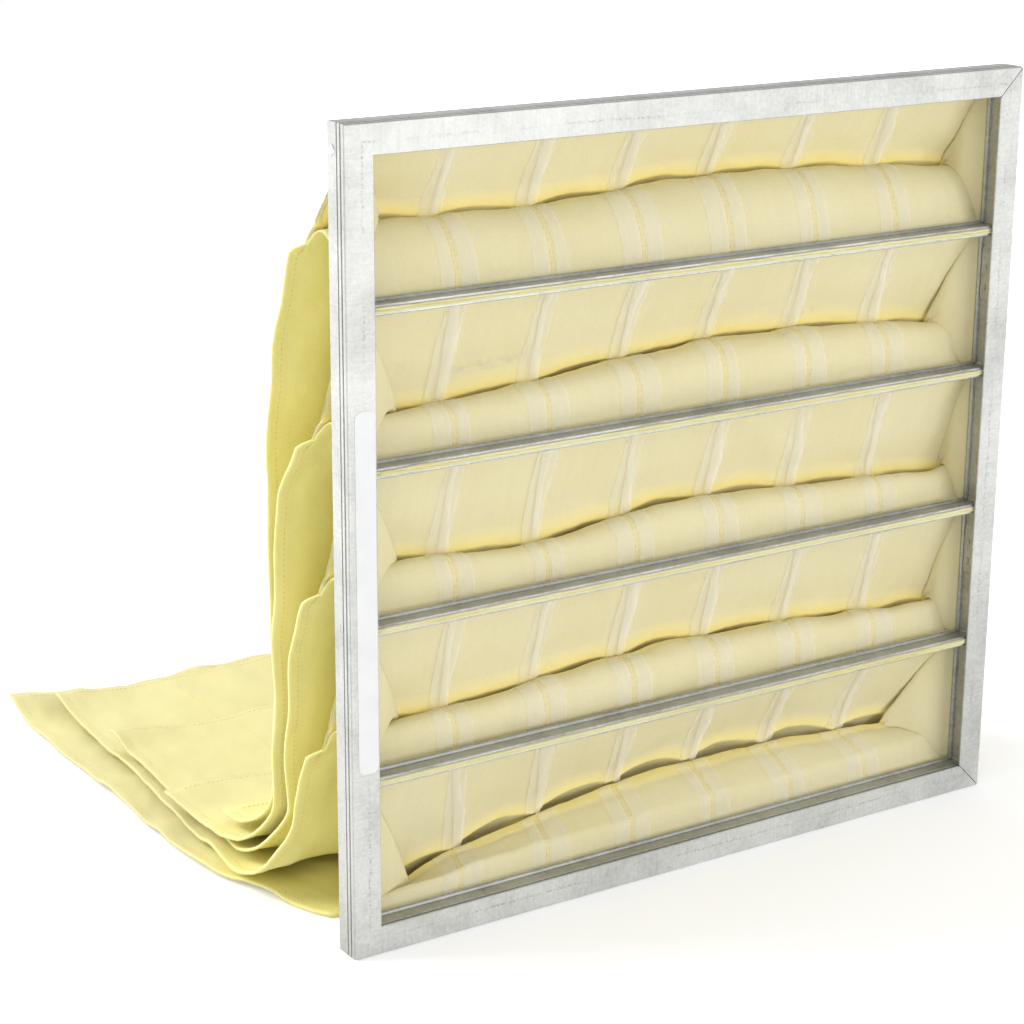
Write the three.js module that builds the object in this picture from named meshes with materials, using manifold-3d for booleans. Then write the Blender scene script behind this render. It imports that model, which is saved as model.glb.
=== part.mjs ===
// Bag air filter: five limp fabric pockets on steel rings, held side by side in a folded steel header.
// Millimetres, +Z up. The header stands upright on its bottom edge, its face looks towards -Y,
// and the empty pockets fall out behind it towards +Y, one over the other, onto the floor.
// The origin is under the bottom rail, on the middle of its flat band.

import * as THREE from "three";
import { mergeVertices } from "three/addons/utils/BufferGeometryUtils.js";
import Module from "manifold-3d";

const wasm = await Module();
wasm.setup();

// Header: one roll-formed channel, notched and folded round a square
const HEADER_SIZE = 492;
const HEADER_DEPTH = 19;
const FACE_WIDTH = 18;
const HEADER_GAUGE = 0.9;
const HEM_WIDTH = 6;
const HEM_GAP = 0.25;
const GROOVE_DEPTH = 0.6;
const MITRE_SLIT = 0.45;
const CORNER_GAP = 1.3;
const CUT_MARGIN = 1;

// The side of the header from back to front: a flat band, then a groove, a rib, a groove and a bead
const BAND_WIDTH = 9.6;
const GROOVE_WIDTH = 1;
const RIB_WIDTH = 3;
const BEAD_WIDTH = 3.4;

// Lap and rivet that close the header at its top left corner
const TAB_LENGTH = 26;
const TAB_WIDTH = 8;
const TAB_GAP = 0.3;
const RIVET_BELOW_TOP = 15;
const RIVET_SHANK_RADIUS = 1.6;
const RIVET_HEAD_RADIUS = 3.1;
const RIVET_HEAD_HEIGHT = 1.1;
const RIVET_TAIL_RADIUS = 2.4;
const RIVET_TAIL_LENGTH = 2;
const RIVET_CLEARANCE = 0.3;
const RIVET_SEAT = 0.05;
const RIVET_SIDES = 12;

// Pocket rings: steel strip bent to a rectangle, with its two ends lapped and clinched
const POCKET_COUNT = 5;
const SIDE_ROOM = 10;
const STACK_ROOM = 12.7;
const RING_SHORT_OF_BACK = 0.55;
const RING_GAUGE = 0.9;
const RING_CORNER = 3;
const RING_HEM = 1.6;
const RING_HEM_WIDTH = 2.2;
const RING_HEM_ROUND = 0.45;
const RING_RIB_HEIGHT = 1.7;
const RING_RIB_WIDTH = 3.8;
const RING_RIB_EDGE = 0.8;
const RING_TO_FACE = 1.4;
const LAP_LENGTH = 36;
const LAP_RAMP = 6;
const LAP_CLEARANCE = 0.3;
const CLINCH_FIRST = 8;
const CLINCH_PITCH = 13;
const CLINCH_HEIGHT = 0.5;
const CLINCH_TOP_RADIUS = 1;
const CLINCH_FOOT_RADIUS = 1.5;
const CLINCH_STRETCH = 2;
const CLINCH_SIDES = 6;
const STACK_LIFT = 2;

// Pocket fabric
const MEDIA = 1.2;
const SEAT_GAP = 0.3;
const CUFF_GAP = 0.4;
const RAW_EDGE = 0.9;
const POCKET_LENGTH = 520;
const SEAM_FLANGE = 9;
const CLOSED_HALF = 3.2;
const LAYER_GAP = 0.6;
const LYING_SPREAD = 25;
const SPREAD_BY = 190;
const SLIT_HALF = 0.6;
const SLIT_EDGE_SHARE = 0.3;
const PANEL_BULGE = 4;
const CURTAIN_POWER = 1.5;
const ROLL_POWER = 2.1;

// How the empty pockets fall. The two panels meet in a crease behind the ring, and below it they
// fall together in a curve that swings out and then leans a little, so that they nest.
const CREASE_REACH = 32;
const FALL_SWING = 40;
const FALL_DEPTH = 60;
const FALL_LEAN = 0.078;
const FALL_STATIONS = [0.12, 0.3, 0.6, 1];
const MOUTH_SAG = 0.4;
const SWAY = 3.5;
const SWAY_WAVES = 1.3;
const SWAY_START = 0.9;
const SIDE_DROP_POWER = 6;

// The bend from the fall to the floor: its radius, its largest share of the fall, and its points
// as reach and height in radii
const LANDING_RADIUS = 32;
const LANDING_SHARE = 0.6;
const LANDING = [[0.35, 0.35], [1, 0.04], [1.8, 0], [3, 0]];

// Between the ring and the crease, as shares of the way: where the seam has become flat, where its
// flange and its thickness begin, and where the section turns from upright to square to the path
const SEAM_FLAT_BY = 0.8;
const FLANGE_FROM = 0.3;
const THICK_FROM = 0.6;
const TURN_FROM = 0.6;
const TURN_TO = 1.5;

// From the top pocket down: how far its crease lies below the middle of its mouth, how much of its
// length small folds take up, how far it has drifted to the right by its end, how much narrower it
// is at its crease, and how much lower its left side lies there than its middle
const CREASE_DROPS = [5, 21, 32, 33, 22];
const TAKEN_UP = [52, 72, 34, 4, 40];
const DRIFTS = [8, 4, 22, 26, 0];
const PINCHES = [-3, -3, -3, -3, 14];
const SIDE_DROPS = [0, 0, 0, 0, 34];

// Spacer strips sewn between the two panels of each pocket
const STRIP_COUNT = 6;
const STRIP_FROM_SIDE = 72;
const STRIP_WIDTH = 16;
const STRIP_GAUGE = 0.5;
const STRIP_LIFT = 0.7;

// Blank label on the left rail
const LABEL_LENGTH = 216;
const LABEL_WIDTH = 13;
const LABEL_CORNER = 4;
const LABEL_GAUGE = 0.2;
const LABEL_TOP = 333;
const LABEL_INSET = 4;

// Mesh fineness
const ROUND_STEPS = 4;
const PANEL_NODES = [0, 0.25, 0.5, 0.75, 0.93];
const CAVITY_ROWS = 5;
const FALL_ROWS = 14;
const PATH_SAMPLES = 240;
const BEND_WEIGHT = 60;
const HOLE_SIDES = 16;
const RING_CORNER_STEPS = 2;

// Planes that several pieces share
const BACK_Y = BAND_WIDTH / 2;
const FACE_Y = BACK_Y - HEADER_DEPTH;
const HALF = HEADER_SIZE / 2;
const RING_FRONT = FACE_Y + HEADER_GAUGE * 2 + HEM_GAP + RING_TO_FACE;
const RING_REAR = BACK_Y - RING_SHORT_OF_BACK;
const CUFF = MEDIA + SEAT_GAP;
const RING_WIDTH = HEADER_SIZE - 2 * (SIDE_ROOM + CUFF);
const STACK_HEIGHT = HEADER_SIZE - 2 * STACK_ROOM;
const RING_HEIGHT = (STACK_HEIGHT - (POCKET_COUNT - 1) * CUFF_GAP) / POCKET_COUNT - 2 * CUFF;
const CUFF_HALF_WIDTH = RING_WIDTH / 2 + SEAT_GAP;
const CUFF_HALF_HEIGHT = RING_HEIGHT / 2 + SEAT_GAP;
const POCKET_PITCH = RING_HEIGHT + 2 * CUFF + CUFF_GAP;
const STRIP_PITCH = (RING_WIDTH - 2 * STRIP_FROM_SIDE) / (STRIP_COUNT - 1);
const CUFF_SIDE_HALF = CUFF_HALF_HEIGHT / 3;
const PANEL_THICKNESS = CLOSED_HALF - SLIT_HALF;

const material = (color, roughness, metalness) => {
  return new THREE.MeshStandardMaterial({ color, roughness, metalness });
};
const galvanised = () => material(0xc9cccc, 0.4, 0.85);
const ringSteel = () => material(0xb4b8b6, 0.45, 0.85);
const rivetMetal = () => material(0xb9bcbd, 0.35, 0.9);
const pocketFabric = () => material(0xf6eca6, 0.95, 0);
const stripScrim = () => material(0xf6f1dc, 0.9, 0);
const labelPaper = () => material(0xe4e6e6, 0.6, 0);

const smooth = (low, high, value) => THREE.MathUtils.smoothstep(value, low, high);
const pocketHeight = (pocket) => HALF + STACK_LIFT + ((POCKET_COUNT - 1) / 2 - pocket) * POCKET_PITCH;
const ofPocket = (values, pocket) => values[Math.min(pocket, values.length - 1)];

// Geometry of loops of points: one quad between each two neighbours on each two neighbouring loops
function loftLoops(loops, { closed = false } = {}) {
  const around = loops[0].length;
  const index = [];
  const last = closed ? loops.length : loops.length - 1;
  for (let row = 0; row < last; row += 1) {
    const next = (row + 1) % loops.length;
    for (let i = 0; i < around; i += 1) {
      const j = (i + 1) % around;
      const a = row * around + i;
      const b = row * around + j;
      const c = next * around + i;
      const d = next * around + j;
      index.push(a, b, d, a, d, c);
    }
  }
  return { points: loops.flat(), index };
}

function toGeometry({ points, index }) {
  const geometry = new THREE.BufferGeometry();
  const positions = points.flatMap((point) => [point.x, point.y, point.z]);
  geometry.setAttribute("position", new THREE.Float32BufferAttribute(positions, 3));
  geometry.setIndex(index);
  return geometry;
}

function toSolid(geometry) {
  const bare = geometry.clone();
  bare.deleteAttribute("normal");
  bare.deleteAttribute("uv");
  const merged = mergeVertices(bare, 1e-3);
  return new wasm.Manifold(new wasm.Mesh({
    numProp: 3,
    vertProperties: new Float32Array(merged.attributes.position.array),
    triVerts: new Uint32Array(merged.index.array),
  }));
}

function fromSolid(solid) {
  const mesh = solid.getMesh();
  const geometry = new THREE.BufferGeometry();
  geometry.setAttribute("position", new THREE.Float32BufferAttribute(mesh.vertProperties, 3));
  geometry.setIndex([...mesh.triVerts]);
  return geometry;
}

function box(x0, x1, y0, y1, z0, z1) {
  const shape = new THREE.BoxGeometry(x1 - x0, y1 - y0, z1 - z0);
  return toSolid(shape.translate((x0 + x1) / 2, (y0 + y1) / 2, (z0 + z1) / 2));
}

// A section swept round a rectangle. A section point is (inset from the outside, y), and the
// section runs so that its outside is walked towards +Y.
function sweepRectangle(section, halfWidth, halfHeight, centreZ, corner, cornerSteps) {
  const loops = [];
  for (let quarter = 0; quarter < 4; quarter += 1) {
    const sideX = quarter === 0 || quarter === 3 ? 1 : -1;
    const sideZ = quarter < 2 ? 1 : -1;
    for (let step = 0; step <= cornerSteps; step += 1) {
      const turn = cornerSteps === 0 ? Math.PI / 4 : (Math.PI / 2) * (step / cornerSteps);
      const angle = quarter * (Math.PI / 2) + turn;
      const stretch = cornerSteps === 0 ? Math.SQRT2 : 1;
      loops.push(section.map(([inset, y]) => new THREE.Vector3(
        sideX * (halfWidth - corner) + (corner - inset) * stretch * Math.cos(angle),
        y,
        centreZ + sideZ * (halfHeight - corner) + (corner - inset) * stretch * Math.sin(angle),
      )));
    }
  }
  return toGeometry(loftLoops(loops, { closed: true }));
}

// Half circle that swells from one end to the other, as [inset, y] points without its ends
function swell(fromY, toY, baseInset, height) {
  const points = [];
  for (let step = 1; step < ROUND_STEPS; step += 1) {
    const angle = Math.PI * (step / ROUND_STEPS);
    const middle = (fromY + toY) / 2;
    points.push([baseInset + height * Math.sin(angle), middle + ((fromY - toY) / 2) * Math.cos(angle)]);
  }
  return points;
}

// The channel's section: grooved side, rear lip, and a face whose inner edge is hemmed back
function headerSection(rearLip) {
  const ribBack = BACK_Y - BAND_WIDTH - GROOVE_WIDTH;
  const ribFront = ribBack - RIB_WIDTH;
  const beadBack = ribFront - GROOVE_WIDTH / 2;
  const beadFront = beadBack - BEAD_WIDTH;
  const inside = GROOVE_DEPTH + HEADER_GAUGE;
  const faceBack = FACE_Y + HEADER_GAUGE;
  const hemFront = faceBack + HEM_GAP;
  const hemBack = hemFront + HEADER_GAUGE;
  return [
    [GROOVE_DEPTH, FACE_Y],
    [GROOVE_DEPTH, beadFront],
    ...swell(beadFront, beadBack, GROOVE_DEPTH, -GROOVE_DEPTH),
    [GROOVE_DEPTH, beadBack],
    [GROOVE_DEPTH, ribFront],
    [0, ribFront + GROOVE_WIDTH / 4],
    [0, ribBack - GROOVE_WIDTH / 4],
    [GROOVE_DEPTH, ribBack],
    [GROOVE_DEPTH, BACK_Y - BAND_WIDTH - GROOVE_WIDTH / 4],
    [0, BACK_Y - BAND_WIDTH],
    [0, BACK_Y],
    [rearLip, BACK_Y],
    [rearLip, BACK_Y - HEADER_GAUGE],
    [inside, BACK_Y - HEADER_GAUGE],
    [inside, faceBack],
    [FACE_WIDTH - HEADER_GAUGE, faceBack],
    [FACE_WIDTH - HEADER_GAUGE, hemFront],
    [FACE_WIDTH - HEM_WIDTH, hemFront],
    [FACE_WIDTH - HEM_WIDTH, hemBack],
    [FACE_WIDTH - HEADER_GAUGE / 2, hemBack],
    [FACE_WIDTH, hemFront],
    [FACE_WIDTH, FACE_Y + HEADER_GAUGE / 2],
    [FACE_WIDTH - HEADER_GAUGE / 2, FACE_Y],
  ];
}

// A thin diagonal slab that cuts a flange along its mitre, from the opening to near the outer corner
function mitreSlab(sideX, sideZ, width, y0, y1, inset) {
  const reach = (FACE_WIDTH + CUT_MARGIN - inset) * Math.SQRT2;
  const slab = new THREE.BoxGeometry(reach, y1 - y0, width);
  slab.translate(-reach / 2, 0, 0);
  slab.rotateY(sideX * sideZ > 0 ? -Math.PI / 4 : Math.PI / 4);
  if (sideX < 0) {
    slab.rotateZ(Math.PI);
  }
  slab.translate(sideX * (HALF - inset), (y0 + y1) / 2, HALF + sideZ * (HALF - inset));
  return toSolid(slab);
}

function rivetHole(radius) {
  const hole = new THREE.CylinderGeometry(radius, radius, TAB_LENGTH, HOLE_SIDES);
  hole.rotateZ(Math.PI / 2);
  return toSolid(hole.translate(-HALF, 0, HEADER_SIZE - RIVET_BELOW_TOP));
}

function headerFrame() {
  const rearLip = SIDE_ROOM - SEAT_GAP;
  let header = toSolid(sweepRectangle(headerSection(rearLip), HALF, HALF, HALF, 0, 0));
  const faceBack = FACE_Y + HEADER_GAUGE;
  const hemBack = faceBack + HEM_GAP + HEADER_GAUGE;
  const insideWeb = GROOVE_DEPTH + HEADER_GAUGE;
  const front = FACE_Y - CUT_MARGIN;
  const back = BACK_Y + CUT_MARGIN;
  for (const [sideX, sideZ] of [[1, 1], [1, -1], [-1, -1]]) {
    const cut = (y0, y1, inset) => mitreSlab(sideX, sideZ, MITRE_SLIT, y0, y1, inset);
    header = header.subtract(cut(front, faceBack, -CUT_MARGIN));
    header = header.subtract(cut(front, hemBack + HEM_GAP, insideWeb));
    header = header.subtract(cut(BACK_Y - 2 * HEADER_GAUGE, back, insideWeb));
  }
  header = header.subtract(mitreSlab(-1, 1, CORNER_GAP, front, back, -CUT_MARGIN));
  const tabTop = HEADER_SIZE - GROOVE_DEPTH - HEADER_GAUGE / 2;
  const tabOut = -HALF + insideWeb + TAB_GAP;
  const halfTab = TAB_WIDTH / 2;
  const tab = box(tabOut, tabOut + HEADER_GAUGE, -halfTab, halfTab, tabTop - TAB_LENGTH, tabTop);
  const fold = box(tabOut, tabOut + 2 * CORNER_GAP, -halfTab, halfTab, tabTop - HEADER_GAUGE, tabTop);
  header = header.add(tab).add(fold);
  return fromSolid(header.subtract(rivetHole(RIVET_SHANK_RADIUS + RIVET_CLEARANCE)));
}

// Blind rivet: a domed head outside, a shank through the side and the tab, and a flared end inside
function cornerRivet() {
  const grip = 2 * RIVET_SEAT + GROOVE_DEPTH + 2 * HEADER_GAUGE + TAB_GAP;
  const profile = [
    [0, -grip - RIVET_TAIL_LENGTH],
    [RIVET_SHANK_RADIUS, -grip - RIVET_TAIL_LENGTH],
    [RIVET_TAIL_RADIUS, -grip],
    [RIVET_SHANK_RADIUS, -grip],
    [RIVET_SHANK_RADIUS, 0],
    [RIVET_HEAD_RADIUS, 0],
  ];
  for (let step = 1; step < ROUND_STEPS; step += 1) {
    const angle = (Math.PI / 2) * (step / (ROUND_STEPS - 1));
    const radius = step === ROUND_STEPS - 1 ? 0 : RIVET_HEAD_RADIUS * Math.cos(angle);
    profile.push([radius, RIVET_HEAD_HEIGHT * Math.sin(angle)]);
  }
  const rivet = new THREE.LatheGeometry(profile.map(([r, h]) => new THREE.Vector2(r, h)), RIVET_SIDES);
  rivet.rotateZ(Math.PI / 2);
  return rivet.translate(-HALF - RIVET_SEAT, 0, HEADER_SIZE - RIVET_BELOW_TOP);
}

function roundedPlate(width, height, corner, depth) {
  const shape = new THREE.Shape();
  shape.moveTo(-width / 2 + corner, -height / 2);
  shape.lineTo(width / 2 - corner, -height / 2);
  shape.absarc(width / 2 - corner, -height / 2 + corner, corner, -Math.PI / 2, 0);
  shape.lineTo(width / 2, height / 2 - corner);
  shape.absarc(width / 2 - corner, height / 2 - corner, corner, 0, Math.PI / 2);
  shape.lineTo(-width / 2 + corner, height / 2);
  shape.absarc(-width / 2 + corner, height / 2 - corner, corner, Math.PI / 2, Math.PI);
  shape.lineTo(-width / 2, -height / 2 + corner);
  shape.absarc(-width / 2 + corner, -height / 2 + corner, corner, Math.PI, 1.5 * Math.PI);
  return new THREE.ExtrudeGeometry(shape, { depth, bevelEnabled: false, curveSegments: ROUND_STEPS });
}

function labelBlank() {
  const label = roundedPlate(LABEL_WIDTH, LABEL_LENGTH, LABEL_CORNER, LABEL_GAUGE);
  label.rotateX(Math.PI / 2);
  return label.translate(-HALF + LABEL_INSET + LABEL_WIDTH / 2, FACE_Y, LABEL_TOP - LABEL_LENGTH / 2);
}

// The ring's strip: a hemmed front edge, a flat, and a rolled rib near the back edge
function ringSection() {
  const ribBack = RING_REAR - RING_RIB_EDGE;
  const ribFront = ribBack - RING_RIB_WIDTH;
  return [
    [0, RING_FRONT],
    [0, RING_REAR],
    [RING_GAUGE, RING_REAR],
    [RING_GAUGE, ribBack],
    ...swell(ribBack, ribFront, RING_GAUGE, RING_RIB_HEIGHT),
    [RING_GAUGE, ribFront],
    [RING_GAUGE, RING_FRONT + RING_HEM_WIDTH],
    [RING_HEM, RING_FRONT + RING_HEM_WIDTH - RING_HEM_ROUND],
    [RING_HEM, RING_FRONT + RING_HEM_ROUND],
    [RING_HEM - RING_HEM_ROUND, RING_FRONT],
  ];
}

// The lapped end of the strip with its two clinches, on the left or the right side of its ring
function ringLap(side, centreZ) {
  const flatFront = RING_FRONT + RING_HEM_WIDTH + LAP_CLEARANCE;
  const flatBack = RING_REAR - RING_RIB_EDGE - RING_RIB_WIDTH - LAP_CLEARANCE;
  const face = RING_WIDTH / 2 - RING_GAUGE;
  const sunk = RING_GAUGE / 2;
  const outline = [
    [face + sunk, 0],
    [face + sunk, LAP_LENGTH],
    [face, LAP_LENGTH],
    [face - RING_GAUGE, LAP_LENGTH - LAP_RAMP],
    [face - RING_GAUGE, 0],
  ];
  const lap = new THREE.Shape(outline.map(([x, z]) => new THREE.Vector2(side * x, z)));
  const plate = new THREE.ExtrudeGeometry(lap, { depth: flatBack - flatFront, bevelEnabled: false });
  plate.rotateX(Math.PI / 2);
  let solid = toSolid(plate.translate(0, flatBack, centreZ));
  const height = CLINCH_HEIGHT + sunk;
  const inner = face - RING_GAUGE - CLINCH_HEIGHT;
  for (let clinch = 0; clinch < 2; clinch += 1) {
    const tooth = new THREE.CylinderGeometry(CLINCH_TOP_RADIUS, CLINCH_FOOT_RADIUS, height, CLINCH_SIDES);
    tooth.scale(1, 1, CLINCH_STRETCH);
    tooth.rotateZ(side * (Math.PI / 2));
    const z = centreZ + CLINCH_FIRST + clinch * CLINCH_PITCH;
    tooth.translate(side * (inner + height / 2), (flatFront + flatBack) / 2, z);
    solid = solid.add(toSolid(tooth));
  }
  return solid;
}

// The strips are lapped on the right of every second ring and on the left of the others
function pocketRing(pocket) {
  const centreZ = pocketHeight(pocket);
  const halfWidth = RING_WIDTH / 2;
  const halfHeight = RING_HEIGHT / 2;
  const ring = sweepRectangle(ringSection(), halfWidth, halfHeight, centreZ, RING_CORNER, RING_CORNER_STEPS);
  const side = pocket % 2 === 1 ? 1 : -1;
  return fromSolid(toSolid(ring).add(ringLap(side, centreZ)));
}

// How far behind its ring a pocket lies when it has fallen so far below its crease
function fallReach(depth) {
  const swung = 1 - Math.exp(-depth / FALL_DEPTH);
  return CREASE_REACH + FALL_SWING * swung + FALL_LEAN * depth;
}

const laidLength = (pocket) => POCKET_LENGTH - ofPocket(TAKEN_UP, pocket);

// The pocket's middle line in the YZ plane: out of the ring to the crease, down the fall, and
// along whatever lies on the floor below it
function pocketPath(pocket) {
  const mouth = pocketHeight(pocket);
  const layersBelow = POCKET_COUNT - 1 - pocket;
  const restZ = CLOSED_HALF + layersBelow * (2 * CLOSED_HALF + LAYER_GAP);
  const drop = ofPocket(CREASE_DROPS, pocket);
  const creaseZ = mouth - drop;
  const fall = creaseZ - restZ;
  const radius = Math.min(LANDING_RADIUS, LANDING_SHARE * fall);
  const foot = fallReach(fall - radius);
  const landed = foot + LANDING[LANDING.length - 1][0] * radius;
  const point = (reach, z) => new THREE.Vector3(0, RING_REAR + reach, z);
  const fallen = FALL_STATIONS.map((share) => {
    const depth = share * (fall - radius);
    return point(fallReach(depth), creaseZ - depth);
  });
  return new THREE.CatmullRomCurve3([
    point(0, mouth),
    point(CREASE_REACH / 2, mouth - MOUTH_SAG * drop),
    point(CREASE_REACH, creaseZ),
    ...fallen,
    ...LANDING.map(([reach, height]) => point(foot + reach * radius, restZ + height * radius)),
    point(landed + POCKET_LENGTH, restZ),
  ], false, "centripetal");
}

// Points along a pocket's path with their distance from the ring
function samplePath(path) {
  const samples = [];
  let length = 0;
  let previous = path.getPoint(0);
  for (let i = 0; i <= PATH_SAMPLES; i += 1) {
    const point = path.getPoint(i / PATH_SAMPLES);
    length += point.distanceTo(previous);
    samples.push({ length, point, tangent: path.getTangent(i / PATH_SAMPLES) });
    previous = point;
  }
  return samples;
}

function pathAt(samples, distance) {
  let next = samples.findIndex((sample) => sample.length >= distance);
  next = Math.max(next, 1);
  const a = samples[next - 1];
  const b = samples[next];
  const share = (distance - a.length) / (b.length - a.length);
  return {
    point: a.point.clone().lerp(b.point, share),
    tangent: a.tangent.clone().lerp(b.tangent, share).normalize(),
  };
}

// Distances that lie closer together where the path bends
function bendStations(samples, from, to, count) {
  const kept = samples.filter((sample) => sample.length > from && sample.length < to);
  const costs = [0];
  for (let i = 1; i < kept.length; i += 1) {
    const turn = kept[i].tangent.angleTo(kept[i - 1].tangent);
    costs.push(costs[i - 1] + kept[i].length - kept[i - 1].length + BEND_WEIGHT * turn);
  }
  const total = costs[costs.length - 1];
  const stations = [];
  for (let step = 1; step <= count; step += 1) {
    const found = costs.findIndex((cost) => cost >= (total * step) / (count + 1));
    stations.push(kept[found].length);
  }
  return stations;
}

// Everything a pocket's panels need at one distance from its ring. Behind the ring the upper panel
// hangs down like a curtain, and the lower one rises in a roll towards the crease.
function pocketSection(pocket, samples, distance) {
  const { point, tangent } = pathAt(samples, distance);
  const closing = Math.min(distance / CREASE_REACH, 1);
  const normal = new THREE.Vector3(0, -tangent.z, tangent.y);
  const turned = smooth(TURN_FROM * CREASE_REACH, TURN_TO * CREASE_REACH, distance);
  const low = 1 - smooth(CLOSED_HALF, pocketHeight(POCKET_COUNT - 1), point.z);
  const lying = low * smooth(CREASE_REACH, SPREAD_BY, distance);
  const pinched = -ofPocket(PINCHES, pocket) * closing;
  const fallen = smooth(CREASE_REACH, laidLength(pocket), distance);
  const sideDrop = ofPocket(SIDE_DROPS, pocket) * closing;
  return {
    point: point.clone().setX(ofPocket(DRIFTS, pocket) * fallen),
    sway: SWAY * closing * (1 - low),
    sideDrop: Math.min(sideDrop, point.z - CLOSED_HALF),
    across: new THREE.Vector3(0, 0, 1).lerp(normal, turned).normalize(),
    upperGap: THREE.MathUtils.lerp(CUFF_HALF_HEIGHT, SLIT_HALF, closing ** CURTAIN_POWER),
    lowerGap: THREE.MathUtils.lerp(SLIT_HALF, CUFF_HALF_HEIGHT, (1 - closing) ** ROLL_POWER),
    halfWidth: CUFF_HALF_WIDTH + THREE.MathUtils.lerp(pinched, LYING_SPREAD, lying),
    edgeShare: THREE.MathUtils.lerp(1, SLIT_EDGE_SHARE, closing),
  };
}

// The middle between the two panels: it sways across the pocket and drops towards its left side
function middlePoint(section, share) {
  const sway = section.sway * Math.sin(SWAY_WAVES * Math.PI * share + SWAY_START);
  const drop = section.sideDrop * Math.max(0, -share) ** SIDE_DROP_POWER;
  return section.point.clone()
    .addScaledVector(section.across, sway)
    .add(new THREE.Vector3(0, 0, -drop));
}

// A point of a panel: side is 1 for the upper panel and -1 for the lower one, and share runs from
// -1 at the left seam to 1 at the right one
function panelPoint(section, side, share, outward) {
  const bulge = THREE.MathUtils.lerp(section.edgeShare, 1, 1 - Math.abs(share) ** PANEL_BULGE);
  const gap = side > 0 ? section.upperGap : section.lowerGap;
  const height = side * (gap * bulge + outward);
  return middlePoint(section, share)
    .addScaledVector(section.across, height)
    .add(new THREE.Vector3(share * (section.halfWidth + Math.min(outward, MEDIA)), 0, 0));
}

const panelShares = [...PANEL_NODES, 1].flatMap((share) => (share === 0 ? [0] : [share, -share]))
  .sort((a, b) => a - b);

// A point on the facets between the panel's nodes
function facetPoint(section, side, share, outward) {
  const next = panelShares.findIndex((node) => node > share);
  const from = panelShares[next - 1];
  const to = panelShares[next];
  return panelPoint(section, side, from, outward)
    .lerp(panelPoint(section, side, to, outward), (share - from) / (to - from));
}

// The loop round a pocket at one section: upper panel, right edge, lower panel, left edge
function pocketLoop(section, thickness, edgeReach, edgeHalf) {
  const upper = panelShares.map((share) => panelPoint(section, 1, share, thickness));
  const lower = panelShares.map((share) => panelPoint(section, -1, share, thickness)).reverse();
  const edge = (side, up) => middlePoint(section, side)
    .addScaledVector(section.across, up * edgeHalf)
    .add(new THREE.Vector3(side * (section.halfWidth + edgeReach), 0, 0));
  return [...upper, edge(1, 1), edge(1, -1), ...lower, edge(-1, -1), edge(-1, 1)];
}

function shifted(section, y) {
  const point = section.point.clone();
  point.y = y;
  return { ...section, point };
}

// The outside of a pocket between its ring and its crease, where the two panels come together
function mouthLoop(section, closing) {
  const edgeHalf = THREE.MathUtils.lerp(CUFF_SIDE_HALF, MEDIA, smooth(0, SEAM_FLAT_BY, closing));
  const reach = THREE.MathUtils.lerp(MEDIA, SEAM_FLANGE, smooth(FLANGE_FROM, 1, closing));
  const thickness = THREE.MathUtils.lerp(MEDIA, PANEL_THICKNESS, smooth(THICK_FROM, 1, closing));
  return pocketLoop(section, thickness, reach, edgeHalf);
}

// One pocket: the cuff round its ring, the open mouth that narrows to the crease, and the two
// panels lying on each other from there to the sewn end
function pocketBag(pocket) {
  const samples = samplePath(pocketPath(pocket));
  const sectionAt = (distance) => pocketSection(pocket, samples, distance);
  const ringEnd = sectionAt(0);
  const cuffFront = shifted(ringEnd, RING_FRONT - RAW_EDGE);
  const cavity = [];
  for (let row = 1; row <= CAVITY_ROWS; row += 1) {
    cavity.push(sectionAt((CREASE_REACH * row) / CAVITY_ROWS));
  }
  const end = laidLength(pocket);
  const flangeStart = end - SEAM_FLANGE;
  const flangeFoot = flangeStart - MEDIA;
  const fall = [...bendStations(samples, CREASE_REACH, flangeFoot, FALL_ROWS), flangeFoot];
  const outer = [
    pocketLoop(cuffFront, MEDIA, MEDIA, CUFF_SIDE_HALF),
    pocketLoop(ringEnd, MEDIA, MEDIA, CUFF_SIDE_HALF),
    ...cavity.map((section, row) => mouthLoop(section, (row + 1) / CAVITY_ROWS)),
    ...fall.map((distance) => pocketLoop(sectionAt(distance), PANEL_THICKNESS, SEAM_FLANGE, MEDIA)),
    ...[flangeStart, end].map((distance) => {
      const sewn = { ...sectionAt(distance), upperGap: 0, lowerGap: 0 };
      return pocketLoop(sewn, MEDIA, SEAM_FLANGE, MEDIA);
    }),
  ];
  const inner = [cuffFront, ringEnd, ...cavity].map((section) => {
    return pocketLoop(section, 0, 0, (section.lowerGap * section.edgeShare) / 3);
  });
  return toGeometry(closePocket(outer, inner));
}

// Joins the outside and the inside round the mouth's raw edge and closes both at their far ends
function closePocket(outer, inner) {
  const loops = [...inner.slice().reverse(), ...outer];
  const { points, index } = loftLoops(loops);
  const around = outer[0].length;
  const lastStart = (loops.length - 1) * around;
  const cap = (start, flip) => {
    const nodes = panelShares.length;
    for (let i = 0; i < nodes - 1; i += 1) {
      const a = start + i;
      const b = start + i + 1;
      const c = start + 2 * nodes + 1 - i;
      const d = start + 2 * nodes - i;
      index.push(...(flip ? [a, c, b, b, c, d] : [a, b, c, b, d, c]));
    }
    const right = start + nodes;
    const left = start + 2 * nodes + 2;
    const corners = [
      [right - 1, right, right + 1],
      [right - 1, right + 1, right + 2],
      [start, left - 1, left],
      [start, left, left + 1],
    ];
    for (const [a, b, c] of corners) {
      index.push(...(flip ? [a, c, b] : [a, b, c]));
    }
  };
  cap(0, true);
  cap(lastStart, false);
  return { points, index };
}

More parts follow.
